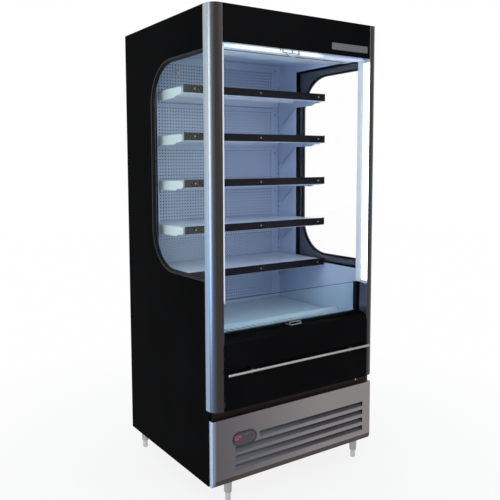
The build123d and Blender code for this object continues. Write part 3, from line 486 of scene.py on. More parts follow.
@dataclass(frozen=True)
class TwoCoats(Finish):
    """Two colours on one part, told apart by where its surface lies along an axis: a second coat on the
    curtain bar, painted light and painted shade on the shelves, uprights and honeycomb.
    """

    axis: int
    limit: float
    below: Coat
    above: Coat
    grain: Grain = Grain.EVEN
    scratch: float = 0.04
    far: float | None = None
    # Painted shade colour past the far limit.
    far_shade_color: Color = (0.5, 0.5, 0.5)

    def draw(self, sheet: NodeSheet) -> Material:
        """Draws both colours with fine scratches, and where wanted a third colour, a painted shade, past a
        far limit.

        Args:
            sheet: the empty sheet.

        Returns:
            The material.
        """
        place = sheet.axes()[self.axis]
        share = sheet.above(place, self.limit)
        scratches = sheet.noise(self.grain.value)
        color = self.below.color
        if self.above.color != color:
            color = sheet.mix(share, color, self.above.color)
        if self.far is not None:
            # Painted shade past the far limit.
            color = sheet.mix(sheet.above(place, self.far), color, self.far_shade_color)
        shade = sheet.spread(scratches, 1.0 - self.scratch, 1.0 + self.scratch)
        return sheet.painted({
            "Base Color": sheet.scaled(color, shade),
            "Metallic": sheet.between(share, self.below.metallic, self.above.metallic),
            "Roughness": sheet.between(share, self.below.roughness, self.above.roughness),
            "Normal": sheet.bump(scratches, SCRATCH_DEPTH, 0.2),
        })


@dataclass(frozen=True)
class PostCoat(Finish):
    """Corner post by place: satin front, a painted reflection on the outer wing, a painted highlight round
    the edge that darkens to the front, and a cheek with painted shade below its lamp.
    """

    front: Color = (0.045, 0.041, 0.038)
    # The outer wing's colours are a painted reflection, with a painted highlight higher up.
    wing_painted_reflection: Color = (0.255, 0.36, 0.5)
    wing_painted_highlight: Color = (0.34, 0.4, 0.45)
    # The rounded edge's colours are a painted highlight, paler higher up.
    edge: Color = (0.08, 0.108, 0.16)
    edge_painted_highlight: Color = (0.118, 0.125, 0.13)
    cheek: Color = (0.92, 0.96, 0.98)
    # Below the lamp the cheek takes a painted shade.
    cheek_painted_shade: Color = (0.2, 0.2, 0.27)
    channel: Color = (0.008, 0.008, 0.012)
    wing_span: Span = (0.442, 0.4438)
    edge_span: Span = (0.422, 0.4385)
    # Heights over which the painted highlights grow paler upwards.
    highlight_height_span: Span = (0.95, 1.45)
    cheek_to: float = 0.3925
    lamp_from: float = 0.849
    channel_from: float = -0.317

    def draw(self, sheet: NodeSheet) -> Material:
        """Draws the surfaces with upright scratches.

        Args:
            sheet: the empty sheet.

        Returns:
            The material.
        """
        x, y, z = sheet.axes()
        away = sheet.size(x)
        # Share of the painted highlight, growing with height.
        high = sheet.ramp(z, *self.highlight_height_span)
        inner = sheet.below(away, self.cheek_to)
        beside_lamp = sheet.above(z, self.lamp_from)
        scratches = sheet.noise(Grain.ALONG_Z.value)
        satin = sheet.varied(scratches, self.front, 0.1)
        # Painted highlight round the rounded edge.
        rounded = sheet.mix(high, self.edge, self.edge_painted_highlight)
        metal = sheet.mix(sheet.ramp(away, *self.edge_span), satin, rounded)
        # Painted reflection on the outer wing.
        outer = sheet.mix(high, self.wing_painted_reflection, self.wing_painted_highlight)
        metal = sheet.mix(sheet.ramp(away, *self.wing_span), metal, outer)
        # Below the lamp the cheek takes a painted shade, and is near-black further back in the channel.
        low = sheet.mix(sheet.above(y, self.channel_from), self.cheek_painted_shade, self.channel)
        return sheet.painted({
            "Base Color": sheet.mix(inner, metal, sheet.mix(beside_lamp, low, self.cheek)),
            "Metallic": sheet.rest(sheet.both(inner, beside_lamp)),
            "Roughness": sheet.spread(scratches, 0.3, 0.38),
            "Normal": sheet.bump(scratches, SCRATCH_DEPTH, 0.2),
        })


@dataclass(frozen=True)
class LouvredFront(Finish):
    """Brushed machine front with painted blades: a painted reflection pales the steel to the right, painted
    light pales the blades to the left, and painted reflections brighten the flanks and the left corner.
    """

    # From dark to pale, left to right, the steel carries a painted reflection.
    dark: Color = (0.118, 0.113, 0.122)
    pale: Color = (0.25, 0.232, 0.232)
    # The blades' colours are painted light: paler on the left, darker on the right.
    blade_painted_light_left: Color = (0.21, 0.235, 0.265)
    blade_painted_shade_right: Color = (0.085, 0.085, 0.09)
    # Painted reflections on the flanks and on the left corner.
    flank_painted_reflection: Color = (0.45, 0.57, 0.75)
    corner: Color = (0.24, 0.29, 0.37)
    bend: Color = (0.06, 0.05, 0.045)
    blades_from: float = -0.3468
    blades_to: float = 0.36
    bend_to: float = 0.14
    flank_from: float = 0.4395
    # Span, left to right, of the painted reflection and the painted light.
    painted_reflection_span: Span = (-0.42, 0.12)
    corner_span: Span = (-0.422, -0.434)

    def draw(self, sheet: NodeSheet) -> Material:
        """Draws the sheet, its blades and its flanks.

        Args:
            sheet: the empty sheet.

        Returns:
            The material.
        """
        x, y, z = sheet.axes()
        low = sheet.below(z, self.bend_to)
        sides = sheet.above(sheet.size(x), self.flank_from)
        behind = sheet.both(sheet.above(y, self.blades_from), sheet.rest(sides))
        painted = sheet.both(behind, sheet.sum("SUBTRACT", sheet.below(z, self.blades_to), low))
        # Share, left to right, of the painted reflection on the steel and the painted light on the blades.
        painted_light_across = sheet.ramp(x, *self.painted_reflection_span)
        scratches = sheet.noise(Grain.ALONG_X.value)
        tone = sheet.mix(sheet.both(behind, low), sheet.mix(painted_light_across, self.dark, self.pale), self.bend)
        # Painted reflection on the left corner, then on the flanks.
        tone = sheet.mix(sheet.ramp(x, *self.corner_span), tone, self.corner)
        tone = sheet.mix(sides, tone, self.flank_painted_reflection)
        steel = sheet.scaled(tone, sheet.spread(scratches, 0.95, 1.05))
        return sheet.painted({
            # The blades take their painted light from left to right.
            "Base Color": sheet.mix(painted, steel, sheet.mix(painted_light_across, self.blade_painted_light_left, self.blade_painted_shade_right)),
            "Metallic": sheet.rest(painted),
            "Roughness": sheet.between(painted, 0.36, 0.55),
            "Normal": sheet.bump(scratches, SCRATCH_DEPTH, 0.2),
        })


@dataclass(frozen=True)
class SealRubber(Finish):
    """Black rubber whose face against the outer pane is pale."""

    color: Color = (0.006, 0.006, 0.007)
    pale: Color = (0.42, 0.4, 0.37)
    pane: float = 0.431
    reach: float = 0.0005

    def draw(self, sheet: NodeSheet) -> Material:
        """Draws the rubber and its pale face.

        Args:
            sheet: the empty sheet.

        Returns:
            The material.
        """
        off = sheet.size(sheet.size(sheet.axes()[0]), self.pane)
        grain = sheet.noise(900.0, 2.0)
        return sheet.painted({
            "Base Color": sheet.mix(sheet.below(off, self.reach), self.color, self.pale),
            "Roughness": sheet.spread(grain, 0.55, 0.65),
            "Specular IOR Level": 0.2,
            "Normal": sheet.bump(grain, 0.00008, 0.3),
        })


@dataclass(frozen=True)
class RailPlastic(Finish):
    """Dark price rails with a painted highlight on the lip under each card groove."""

    color: Color = (0.008, 0.0075, 0.011)
    # Painted highlight on the lip under each groove.
    painted_lip_highlight: Color = (0.013, 0.013, 0.017)
    level: float = 0.097
    spacing: float = 0.2
    groove: float = 0.00825
    groove_offset: float = 0.002
    width: float = 0.001

    def draw(self, sheet: NodeSheet) -> Material:
        """Draws the rails and the painted highlights on their lips.

        Args:
            sheet: the empty sheet.

        Returns:
            The material.
        """
        turns = sheet.sum("DIVIDE", sheet.sum("SUBTRACT", sheet.axes()[2], self.level), self.spacing)
        height = sheet.both(sheet.sum("FRACT", turns), self.spacing)
        raised = sheet.sum("ADD", height, self.groove * 0.5 + self.groove_offset)
        off = sheet.size(sheet.sum("FRACT", sheet.sum("DIVIDE", raised, self.groove)), 0.5)
        # Painted highlight along the lip under each groove.
        near = sheet.below(off, self.width * 0.5 / self.groove)
        grain = sheet.noise(300.0, 2.0)
        return sheet.painted({
            "Base Color": sheet.mix(near, self.color, self.painted_lip_highlight),
            "Roughness": sheet.spread(grain, 0.45, 0.5),
            "Specular IOR Level": 0.1,
            "Normal": sheet.bump(grain, 0.00003, 0.1),
        })


@dataclass(frozen=True)
class RailAndBosses(Finish):
    """Bright bumper rod in front of black bosses, told apart by their place."""

    rod_y: float
    rod_z: float
    rod_radius: float
    boss: Color = (0.006, 0.006, 0.006)
    dark: Color = (0.27, 0.265, 0.26)
    pale: Color = (0.42, 0.41, 0.4)

    def draw(self, sheet: NodeSheet) -> Material:
        """Draws both metals.

        Args:
            sheet: the empty sheet.

        Returns:
            The material.
        """
        _, y, z = sheet.axes()
        level = sheet.below(sheet.size(z, self.rod_z), self.rod_radius * 1.04)
        rod = sheet.both(sheet.below(y, self.rod_y + self.rod_radius), level)
        scratches = sheet.noise(Grain.ALONG_X.value)
        return sheet.painted({
            "Base Color": sheet.mix(rod, self.boss, sheet.tones(scratches, self.dark, self.pale)),
            "Metallic": rod,
            "Roughness": sheet.spread(scratches, 0.2, 0.32),
            "Specular IOR Level": 0.2,
            "Normal": sheet.bump(scratches, SCRATCH_DEPTH, 0.2),
        })


@dataclass(frozen=True)
class WovenWeb(Finish):
    """Silvery woven curtain web."""

    color: Color = (0.5, 0.53, 0.57)

    def draw(self, sheet: NodeSheet) -> Material:
        """Draws the weave.

        Args:
            sheet: the empty sheet.

        Returns:
            The material.
        """
        inputs = {"Vector": sheet.place, "Scale": 260.0, "Distortion": 0.2}
        weave = sheet.both(*(
            sheet.node("ShaderNodeTexWave", inputs, bands_direction=axis).outputs["Fac"]
            for axis in ("X", "Z")))
        return sheet.painted({
            "Base Color": sheet.mix(weave, toned(self.color, 0.6), self.color),
            "Metallic": 0.6,
            "Roughness": sheet.between(weave, 0.6, 0.4),
            "Normal": sheet.bump(weave, 0.0002, 0.6),
        })


@dataclass(frozen=True)
class FinStack(Finish):
    """Coil block whose fine aluminium fins are too many to model."""

    fin: Color = (0.5, 0.52, 0.54)
    # Painted shade in the gaps between the fins.
    painted_gap_shade: Color = (0.04, 0.04, 0.045)
    pitch: float = 0.003
    gap_share: float = 0.45

    def draw(self, sheet: NodeSheet) -> Material:
        """Draws the fins as bright stripes, with painted shade in the dark gaps between them.

        Args:
            sheet: the empty sheet.

        Returns:
            The material.
        """
        saw = sheet.sum("FRACT", sheet.sum("DIVIDE", sheet.axes()[0], self.pitch))
        # The gaps between the fins take a painted shade.
        slit = sheet.below(saw, self.gap_share)
        return sheet.painted({
            "Base Color": sheet.mix(slit, self.fin, self.painted_gap_shade),
            "Metallic": 0.8,
            "Roughness": sheet.spread(sheet.noise(50.0), 0.3, 0.5),
            "Normal": sheet.bump(slit, 0.0004),
        })


@dataclass(frozen=True)
class LitDiode(Finish):
    """Glowing part of a display."""

    color: Color
    strength: float = 1.0

    def draw(self, sheet: NodeSheet) -> Material:
        """Draws the glow, a little uneven.

        Args:
            sheet: the empty sheet.

        Returns:
            The material.
        """
        return sheet.painted({
            "Base Color": toned(self.color, 0.4),
            "Roughness": 0.4,
            "Emission Color": self.color,
            "Emission Strength": sheet.spread(sheet.noise(250.0), self.strength * 0.8, self.strength * 1.1),
        })


BLACK_PAINT = SprayedSteel("gloss_black_paint", (0.0045, 0.0045, 0.0048), 0.3, 0.0, 0.03, 0.2)
# White enamel written blue-grey and dim: painted blue lamp light and painted shade; the ceiling's copy is
# brighter, painted lamp light.
LINER_WHITE = SprayedSteel("liner_enamel_painted_lamp_light", (0.56, 0.67, 0.88), 0.4, 0.4, 0.0, 0.05)
CEILING_PAINTED_LIGHT = SprayedSteel("ceiling_enamel_painted_lamp_light", (0.7, 0.82, 1.0), 0.4, 0.4, 0.0, 0.05)
FRAME_BLACK = SprayedSteel("frame_black", (0.012, 0.007, 0.005), 0.5, 0.15, 0.0, 0.25)
COMPRESSOR_BLACK = SprayedSteel("compressor_enamel", (0.01, 0.01, 0.011), 0.35, 0.4, 0.1, 0.2)
MASK_BLACK = SprayedSteel("printed_blue_black", (0.085, 0.1, 0.135), 0.1, 0.35, 0.0, 0.15)
# Shelf enamel: its blue-grey, lowered tone is painted blue lamp light and painted shade of the undersides;
# greyer at the left ends; painted shade on the right brackets past the far limit.
SHELF_WHITE = TwoCoats(
    "shelf_enamel_painted_light_and_shade", 0, -0.383, Coat((0.44, 0.5, 0.57), 0.0, 0.4), Coat((0.68, 0.76, 0.9), 0.0, 0.35),
    far=0.383, far_shade_color=(0.44, 0.52, 0.72))
# Slotted uprights: blue-grey painted lamp light in front of the wall face, near-black painted shade behind
# it.
UPRIGHT_WHITE = TwoCoats(
    "slotted_upright", 1, 0.2852, Coat((0.58, 0.69, 0.88), 0.0, 0.4), Coat((0.008, 0.01, 0.015), 0.0, 0.7))
# Honeycomb plastic: white at its front, painted shade deeper in.
COMB_PLASTIC = TwoCoats(
    "honeycomb_plastic", 1, -0.235, Coat((0.95, 0.95, 1.0), 0.0, 0.5), Coat((0.24, 0.29, 0.4), 0.0, 0.5))
BAR_METAL = TwoCoats(
    "curtain_bar_and_handle", 2, 1.8572, Coat((0.5, 0.5, 0.5), 0.0, 0.7), Coat((0.5, 0.5, 0.5), 1.0, 0.3),
    Grain.ALONG_X, 0.1)
# Post metal with a painted reflection and highlights on the wing and edge, and painted shade on the cheek
# below the lamp.
POST_METAL = PostCoat("satin_post_metal")
# Machine front steel with a painted reflection, painted light on its blades, and painted reflections on its
# flanks and left corner.
STAINLESS = LouvredFront("brushed_stainless")
BUMPER_METAL = RailAndBosses("bumper_rod_and_bosses", -0.386, 0.565, 0.0055)
BRIGHT_WIRE = BrushedMetal("bright_wire", (0.55, 0.55, 0.56), Grain.EVEN, 0.22, 0.06)
PLATE_METAL = BrushedMetal("name_plate_metal", (0.12, 0.121, 0.135), Grain.ALONG_X, 0.35, 0.08)
TRIM_METAL = BrushedMetal("slate_trim", (0.009, 0.012, 0.016), Grain.ALONG_Z, 0.35, 0.1)
SCREW_STEEL = BrushedMetal("dull_screw_steel", (0.3, 0.3, 0.32), Grain.EVEN, 0.4, 0.08)
ZINC_STEEL = BrushedMetal("zinc_plated_steel", (0.5, 0.51, 0.53), Grain.EVEN, 0.35, 0.08)
SLEEVE_METAL = BrushedMetal("leg_sleeve_metal", (0.36, 0.35, 0.34), Grain.ALONG_Z, 0.4, 0.08)
GALVANISED = ZincCoat("galvanised_sheet")
# The back panel's face towards the display is a near-black painted shade, seen through the perforated wall.
BACK_WITH_PAINTED_SHADE = ZincCoat("galvanised_with_painted_shade", painted_shade_to=0.3475)
# The left window's tint is a painted reflection.
WINDOW_GLASS = ClearPane("window_glass", left_painted_reflection_tint=(0.97, 0.995, 0.96), ior=1.09)
RISER_GLASS = ClearPane("riser_glass", (0.84, 0.95, 0.92), ior=1.22, edge_from=RISER_TOP)
SEAL_RUBBER = SealRubber("window_seal_rubber")
GASKET_RUBBER = MouldedPlastic("gasket_rubber", (0.006, 0.006, 0.007), 0.6, 0.2)
RAIL_PLASTIC = RailPlastic("price_rail_plastic")
CAP_PLASTIC = MouldedPlastic("rail_cap_plastic", (0.012, 0.011, 0.016), 0.45, 0.15)
FAN_PLASTIC = MouldedPlastic("fan_plastic", (0.015, 0.015, 0.016), 0.5, 0.4)
WHITE_PLASTIC = MouldedPlastic("white_plastic", (0.65, 0.67, 0.7), 0.4, 0.4)
SMOKED_PLASTIC = MouldedPlastic("smoked_plastic", (0.055, 0.05, 0.062), 0.22, 0.45, 0.00002)
KEY_ARROW = MouldedPlastic("key_arrow_print", (0.2, 0.18, 0.23), 0.45, 0.3)
KEY_PLASTIC = MouldedPlastic("key_plastic", (0.07, 0.065, 0.08), 0.35, 0.4)
MOTOR_CAST = MouldedPlastic("motor_casting", (0.05, 0.05, 0.055), 0.55, 0.5, 0.0002)
LAMP_COVER = LampCover("lamp_covers")
WEB = WovenWeb("curtain_web_weave")
COIL_FINS = FinStack("coil_fins")
RED_DIGITS = LitDiode("red_digits", (0.85, 0.03, 0.06), 0.75)
DIM_MARKS = LitDiode("dim_marks", (0.5, 0.4, 0.5), 0.2)


def dress(finish: Finish, *names: str) -> None:
    """Gives CAD nodes a finish.

    Args:
        finish: finish of all their surfaces.
        names: node names.
    """
    for name in names:
        for held in NODES[name].material_slots:
            held.material = finish.material()
        log.info("node %s: %s", name, finish.name)


# ------------------------------------------------------------------ workbench
def put_down() -> None:
    """Leaves edit mode and deselects everything."""
    if bpy.context.object is not None and bpy.context.object.mode != "OBJECT":
        bpy.ops.object.mode_set(mode="OBJECT")
    bpy.ops.object.select_all(action="DESELECT")


def hold(piece: Piece) -> Piece:
    """Selects one object alone and makes it active.

    Args:
        piece: the object.

    Returns:
        The object.
    """
    put_down()
    piece.select_set(True)
    bpy.context.view_layer.objects.active = piece
    return piece


def started(name: str) -> Piece:
    """Names the primitive that was just added and bakes its place into its mesh.

    Args:
        name: piece name.

    Returns:
        The primitive.
    """
    piece = hold(bpy.context.object)
    piece.name = piece.data.name = name
    bpy.ops.object.transform_apply(location=True, rotation=True, scale=True)
    return piece


def start_block(name: str, low: Point, high: Point) -> Piece:
    """A block between two corners.

    Args:
        name: piece name.
        low: lowest corner.
        high: highest corner.

    Returns:
        The block, ready for shaping.
    """
    put_down()
    low_corner, high_corner = Vector(low), Vector(high)
    bpy.ops.mesh.primitive_cube_add(
        size=1.0, location=(low_corner + high_corner) / 2, scale=high_corner - low_corner)
    return started(name)


def start_round(
    name: str, center: Point, radius: float, length: float, facing: Facing, sides: int = 24
) -> Piece:
    """A round bar.

    Args:
        name: piece name.
        center: its middle.
        radius: its radius.
        length: its length.
        facing: the axis it lies along.
        sides: how many sides it has.

    Returns:
        The bar, ready for shaping.
    """
    put_down()
    bpy.ops.mesh.primitive_cylinder_add(
        vertices=sides, radius=radius, depth=length, location=center, rotation=facing.value)
    return started(name)


@contextmanager
def shaping(piece: Piece, element: str = "FACE") -> Iterator[Piece]:
    """Edit mode on one piece with nothing selected at first.

    Args:
        piece: what is shaped.
        element: VERT, EDGE or FACE.

    Yields:
        The piece.
    """
    hold(piece)
    bpy.ops.object.mode_set(mode="EDIT")
    bpy.ops.mesh.select_mode(type=element)
    bpy.ops.mesh.select_all(action="DESELECT")
    yield piece
    put_down()


MEASURES: Mapping[str, Callable[[object], tuple[Vector, ...]]] = {
    "faces": lambda face: (face.calc_center_median(), face.normal),
    "edges": lambda edge: (edge.verts[0].co, edge.verts[1].co),
    "verts": lambda vert: (vert.co,),
}


def pick(piece: Piece, kind: str, test: Callable[..., bool]) -> int:
    """Selects, in edit mode, the elements that pass a test, and no others.

    Args:
        piece: what is shaped.
        kind: faces, edges or verts.
        test: takes a face's centre and normal, an edge's two ends, or a vertex.

    Returns:
        How many it selected.
    """
    mesh = bmesh.from_edit_mesh(piece.data)
    elements = getattr(mesh, kind)
    for element in elements:
        element.select_set(False)
    chosen = [element for element in elements if test(*MEASURES[kind](element))]
    for element in chosen:
        element.select_set(True)
    if kind == "verts":
        mesh.select_flush(True)
    bmesh.update_edit_mesh(piece.data)
    return len(chosen)


def pick_all() -> None:
    """Selects, in edit mode, the whole piece."""
    bpy.ops.mesh.select_all(action="SELECT")


def push(move: Point) -> None:
    """Extrudes the selected faces by a move."""
    bpy.ops.mesh.extrude_region_move(TRANSFORM_OT_translate={"value": move})


def pull_edges(move: Point) -> None:
    """Extrudes the selected edges by a move."""
    bpy.ops.mesh.extrude_edges_move(TRANSFORM_OT_translate={"value": move})


def facing_front(_: Vector, normal: Vector) -> bool:
    """Whether a face looks to the front."""
    return normal.y < -FLAT


def sink(piece: Piece, test: Callable[..., bool], rim: float, move: Point) -> None:
    """Extrudes what lies inside a rim.

    Args:
        piece: what is shaped.
        test: takes a face's centre and normal.
        rim: width of the rim.
        move: how far the inner faces go.
    """
    with shaping(piece):
        pick(piece, "faces", test)
        bpy.ops.mesh.inset(thickness=rim)
        push(move)


def round_corners(piece: Piece, radius: float, segments: int) -> None:
    """Rounds the edges that run from front to back.

    Args:
        piece: what is shaped.
        radius: size of the rounding.
        segments: its steps.
    """
    with shaping(piece, "EDGE"):
        pick(piece, "edges", lambda a, b: abs(a.y - b.y) > LEAST_DEPTH)
        bpy.ops.mesh.bevel(offset=radius, segments=segments)


def modified(piece: Piece, kind: str, **settings: object) -> None:
    """Applies one modifier.

    Args:
        piece: what it changes.
        kind: Blender's type name of the modifier.
        settings: its properties.
    """
    hold(piece)
    modifier = piece.modifiers.new(kind.lower(), kind)
    for name, value in settings.items():
        setattr(modifier, name, value)
    bpy.ops.object.modifier_apply(modifier=modifier.name)


def soften(piece: Piece, width: float, segments: int = 2, angle: float = 40.0) -> None:
    """Rounds the edges of a piece that are sharper than an angle in degrees."""
    modified(piece, "BEVEL", width=width, segments=segments, limit_method="ANGLE",
             angle_limit=math.radians(angle))


def in_rows(piece: Piece, count: int, step: Point) -> None:
    """Repeats a mesh a number of times, step by step, so that the copies join up."""
    modified(piece, "ARRAY", count=count, use_relative_offset=False, use_constant_offset=True,
             constant_offset_displace=step, use_merge_vertices=True, merge_threshold=MERGE)


def true_up(piece: Piece) -> None:
    """Merges doubles and turns the faces of a closed shell outwards.

    Args:
        piece: what is cleaned.
    """
    with shaping(piece):
        pick_all()
        bpy.ops.mesh.remove_doubles(threshold=DOUBLES)
        bpy.ops.mesh.normals_make_consistent(inside=False)


def joined(name: str, pieces: Sequence[Piece]) -> Piece:
    """Joins pieces into the first one.

    Args:
        name: name of the joined piece.
        pieces: what is joined.

    Returns:
        The joined piece.
    """
    hold(pieces[0])
    for other in pieces[1:]:
        other.select_set(True)
    bpy.ops.object.join()
    piece = hold(bpy.context.object)
    piece.name = piece.data.name = name
    return piece


def soft_blocks(name: str, corners: Sequence[tuple[Point, Point]], width: float, segments: int) -> Piece:
    """Blocks with rounded edges as one piece.

    Args:
        name: piece name.
        corners: lowest and highest corner of each block.
        width: size of the rounding.
        segments: its steps.

    Returns:
        The piece.
    """
    blocks = [start_block(f"{name}_{i}", low, high) for i, (low, high) in enumerate(corners)]
    for block in blocks:
        soften(block, width, segments)
    piece = joined(name, blocks)
    true_up(piece)
    return piece


def both_sides(
    near: float, far: float, low: Sequence[float], high: Sequence[float]
) -> list[tuple[Point, Point]]:
    """Corners of a block on the right and of its mirror image on the left.

    Args:
        near: the smaller X of the block on the right.
        far: its larger X.
        low: lowest Y and Z.
        high: highest Y and Z.

    Returns:
        Lowest and highest corner of both.
    """
    return [((x0, *low), (x1, *high)) for x0, x1 in ((-far, -near), (near, far))]


def copied(piece: Piece, name: str, place: Matrix) -> Piece:
    """A copy with its own mesh, moved in the mesh.

    Args:
        piece: what is copied.
        name: name of the copy.
        place: where the copy goes.

    Returns:
        The copy.
    """
    twin = piece.copy()
    twin.data = piece.data.copy()
    twin.name = twin.data.name = name
    bpy.context.scene.collection.objects.link(twin)
    twin.data.transform(place)
    if place.determinant() < 0:
        twin.data.flip_normals()
    return twin


MIRROR_X = Matrix.Scale(-1.0, 4, (1.0, 0.0, 0.0))


def smoothed(piece: Piece, finish: Finish, angle: float = 35.0) -> None:
    """Shades the edges flatter than an angle in degrees smooth, and gives the piece its finish alone.

    Args:
        piece: finished mesh.
        finish: its finish.
        angle: the angle.
    """
    hold(piece)
    bpy.ops.object.shade_smooth_by_angle(angle=math.radians(angle))
    piece.data.materials.clear()
    piece.data.materials.append(finish.material())


def fitted(piece: Piece, body: str, finish: Finish, angle: float = 35.0) -> Piece:
    """Finishes a piece: shading, material, slot and the body that it rides on.

    Args:
        piece: finished mesh.
        body: CAD body that carries it.
        finish: its finish.
        angle: edges flatter than this, in degrees, are shaded smooth.

    Returns:
        The piece.
    """
    smoothed(piece, finish, angle)
    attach(piece, body)
    log.info("piece %s: %d faces, on %s", piece.name, len(piece.data.polygons), body)
    put_down()
    return piece


# ------------------------------------------------------------------ walls, header and lamps
@dataclass
class Screws:
    """Small button-head screws, modelled once and copied."""

    radius: float = 0.0038
    rise: float = 0.0022
    brim: float = 0.3
    dome: float = 0.2
    socket_rim: float = 0.25
    socket_depth: float = 0.6

    def head(self, name: str, seat: Point) -> Piece:
        """One screw head that faces the front.

        Args:
            name: piece name.
            seat: middle of its underside.

        Returns:
            The head.
        """
        x, y, z = seat
        piece = start_round(name, (x, y - self.rise / 2, z), self.radius, self.rise, Facing.Y, 16)
        with shaping(piece):
            pick(piece, "faces", facing_front)
            bpy.ops.mesh.inset(thickness=self.radius * self.brim)
            bpy.ops.transform.translate(value=(0.0, -self.rise * self.dome, 0.0))
            bpy.ops.mesh.inset(thickness=self.radius * self.socket_rim)
            push((0.0, self.rise * self.socket_depth, 0.0))
        return piece

    def row(self, name: str, seats: Sequence[Point], body: str, finish: Finish, slot: str) -> Piece:
        """Several screws of one body as one piece.

        Args:
            name: piece name.
            seats: the screws' places.
            body: CAD body that carries them.
            finish: their finish.
            slot: the record's material slot; not used.

        Returns:
            The piece.
        """
        first = self.head(name, seats[0])
        others = [
            copied(first, f"{name}_{i}", Matrix.Translation(Vector(seat) - Vector(seats[0])))
            for i, seat in enumerate(seats[1:], 1)
        ]
        return fitted(joined(name, [first, *others]), body, finish)


@dataclass
class Cabinet:
    """Black foamed shell, grey posts, header with its bare plate, roof, back and base."""

    plate_low: Point = (0.164, -0.3641, 1.877)
    plate_high: Point = (0.375, -0.3625, 1.906)
    plate_corner: float = 0.004
    plate_rim: float = 0.0016
    plate_step: float = 0.4
    plate_sink: float = 0.0006
    back_inset: Span = (0.02, 0.03)
    cover_inset: Span = (0.015, 0.02)

    def dress(self) -> None:
        """Gives the shell's nodes their finishes."""
        dress(BLACK_PAINT, "left_side_panel", "right_side_panel", "header_panel", "roof_panel",
              "lower_front_panel")
        dress(POST_METAL, "left_front_post", "right_front_post")
        dress(BACK_WITH_PAINTED_SHADE, "back_panel")
        dress(GALVANISED, "machine_cover", "drain_pan", "condenser_shroud", "evaporator_fan_plate")
        dress(FRAME_BLACK, "base_frame")
        dress(SLEEVE_METAL, "leg_sleeves")
        dress(ZINC_STEEL, *(f"foot_{end}_{side}" for end in ("front", "rear") for side in ("left", "right")))

    def name_plate(self) -> None:
        """Bare plate with rounded corners and a raised rim."""
        piece = start_block("name_plate", self.plate_low, self.plate_high)
        round_corners(piece, self.plate_corner, 5)
        with shaping(piece):
            pick(piece, "faces", facing_front)
            bpy.ops.mesh.inset(thickness=self.plate_rim)
            bpy.ops.mesh.inset(thickness=self.plate_rim * self.plate_step)
            bpy.ops.transform.translate(value=(0.0, self.plate_sink, 0.0))
        soften(piece, width=0.0003, segments=1, angle=60.0)
        true_up(piece)
        fitted(piece, "cabinet", PLATE_METAL)

    def rear_trim(self, screws: Screws) -> None:
        """Screws of the back and of the machine cover, seen from behind.

        Args:
            screws: maker of the screws.
        """
        low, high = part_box("back_panel")
        dx, dz = self.back_inset
        seats = [
            (x, -high.y, z)
            for x in (low.x + dx, (low.x + high.x) / 2, high.x - dx)
            for z in (low.z + dz, (low.z + high.z) / 2, high.z - dz)
        ]
        low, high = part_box("machine_cover")
        dx, dz = self.cover_inset
        seats += [(x, -high.y, z) for x in (low.x + dx, high.x - dx) for z in (low.z + dz, high.z - dz)]
        piece = screws.row("back_screws", seats, "cabinet", ZINC_STEEL, "galvanised")
        piece.data.transform(Matrix.Rotation(math.pi, 4, "Z"))

    def build(self, screws: Screws) -> None:
        """Builds and dresses the whole shell.

        Args:
            screws: maker of the screws.
        """
        self.dress()
        self.name_plate()
        self.rear_trim(screws)


@dataclass
class Windows:
    """Glazed side windows: dark plate, panes, seals and bevelled trim."""

    def build(self) -> None:
        """Dresses the windows."""
        dress(MASK_BLACK, "window_masks")
        dress(WINDOW_GLASS, "window_panes")
        dress(SEAL_RUBBER, "window_seals")
        dress(TRIM_METAL, "window_trims")


@dataclass
class Lighting:
    """Upright lamps on the posts, the lamp under the header and the ceiling around it."""

    end_x: Span = (0.0088, 0.0002)
    end_y: Span = (-0.0008, 0.0278)
    end_rounding: float = 0.0018
    low_end: Span = (-0.003, 0.012)
    high_end: Span = (-0.019, -0.004)

    def dress(self) -> None:
        """Gives the lamps, ceiling and air outlet their finishes."""
        dress(LAMP_COVER, "lamps")
        dress(LINER_WHITE, "side_liners", "insulated_tub")
        dress(CEILING_PAINTED_LIGHT, "ceiling_panel")
        dress(UPRIGHT_WHITE, "shelf_uprights")
        dress(COMB_PLASTIC, "air_honeycomb")

    def lamp_ends(self) -> None:
        """Opal end pieces at both ends of each post lamp."""
        low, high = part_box("lamps")
        x0, x1 = (high.x - inset for inset in self.end_x)
        y0, y1 = (low.y + reach for reach in self.end_y)
        spans = ((low.z, self.low_end), (high.z, self.high_end))
        right = soft_blocks(
            "lamp_ends_right", [((x0, y0, z + a), (x1, y1, z + b)) for z, (a, b) in spans],
            self.end_rounding, 3)
        left = copied(right, "lamp_ends_left", MIRROR_X)
        for piece in (right, left):
            fitted(piece, "cabinet", WHITE_PLASTIC)

    def build(self) -> None:
        """Builds and dresses the lamps."""
        self.dress()
        self.lamp_ends()


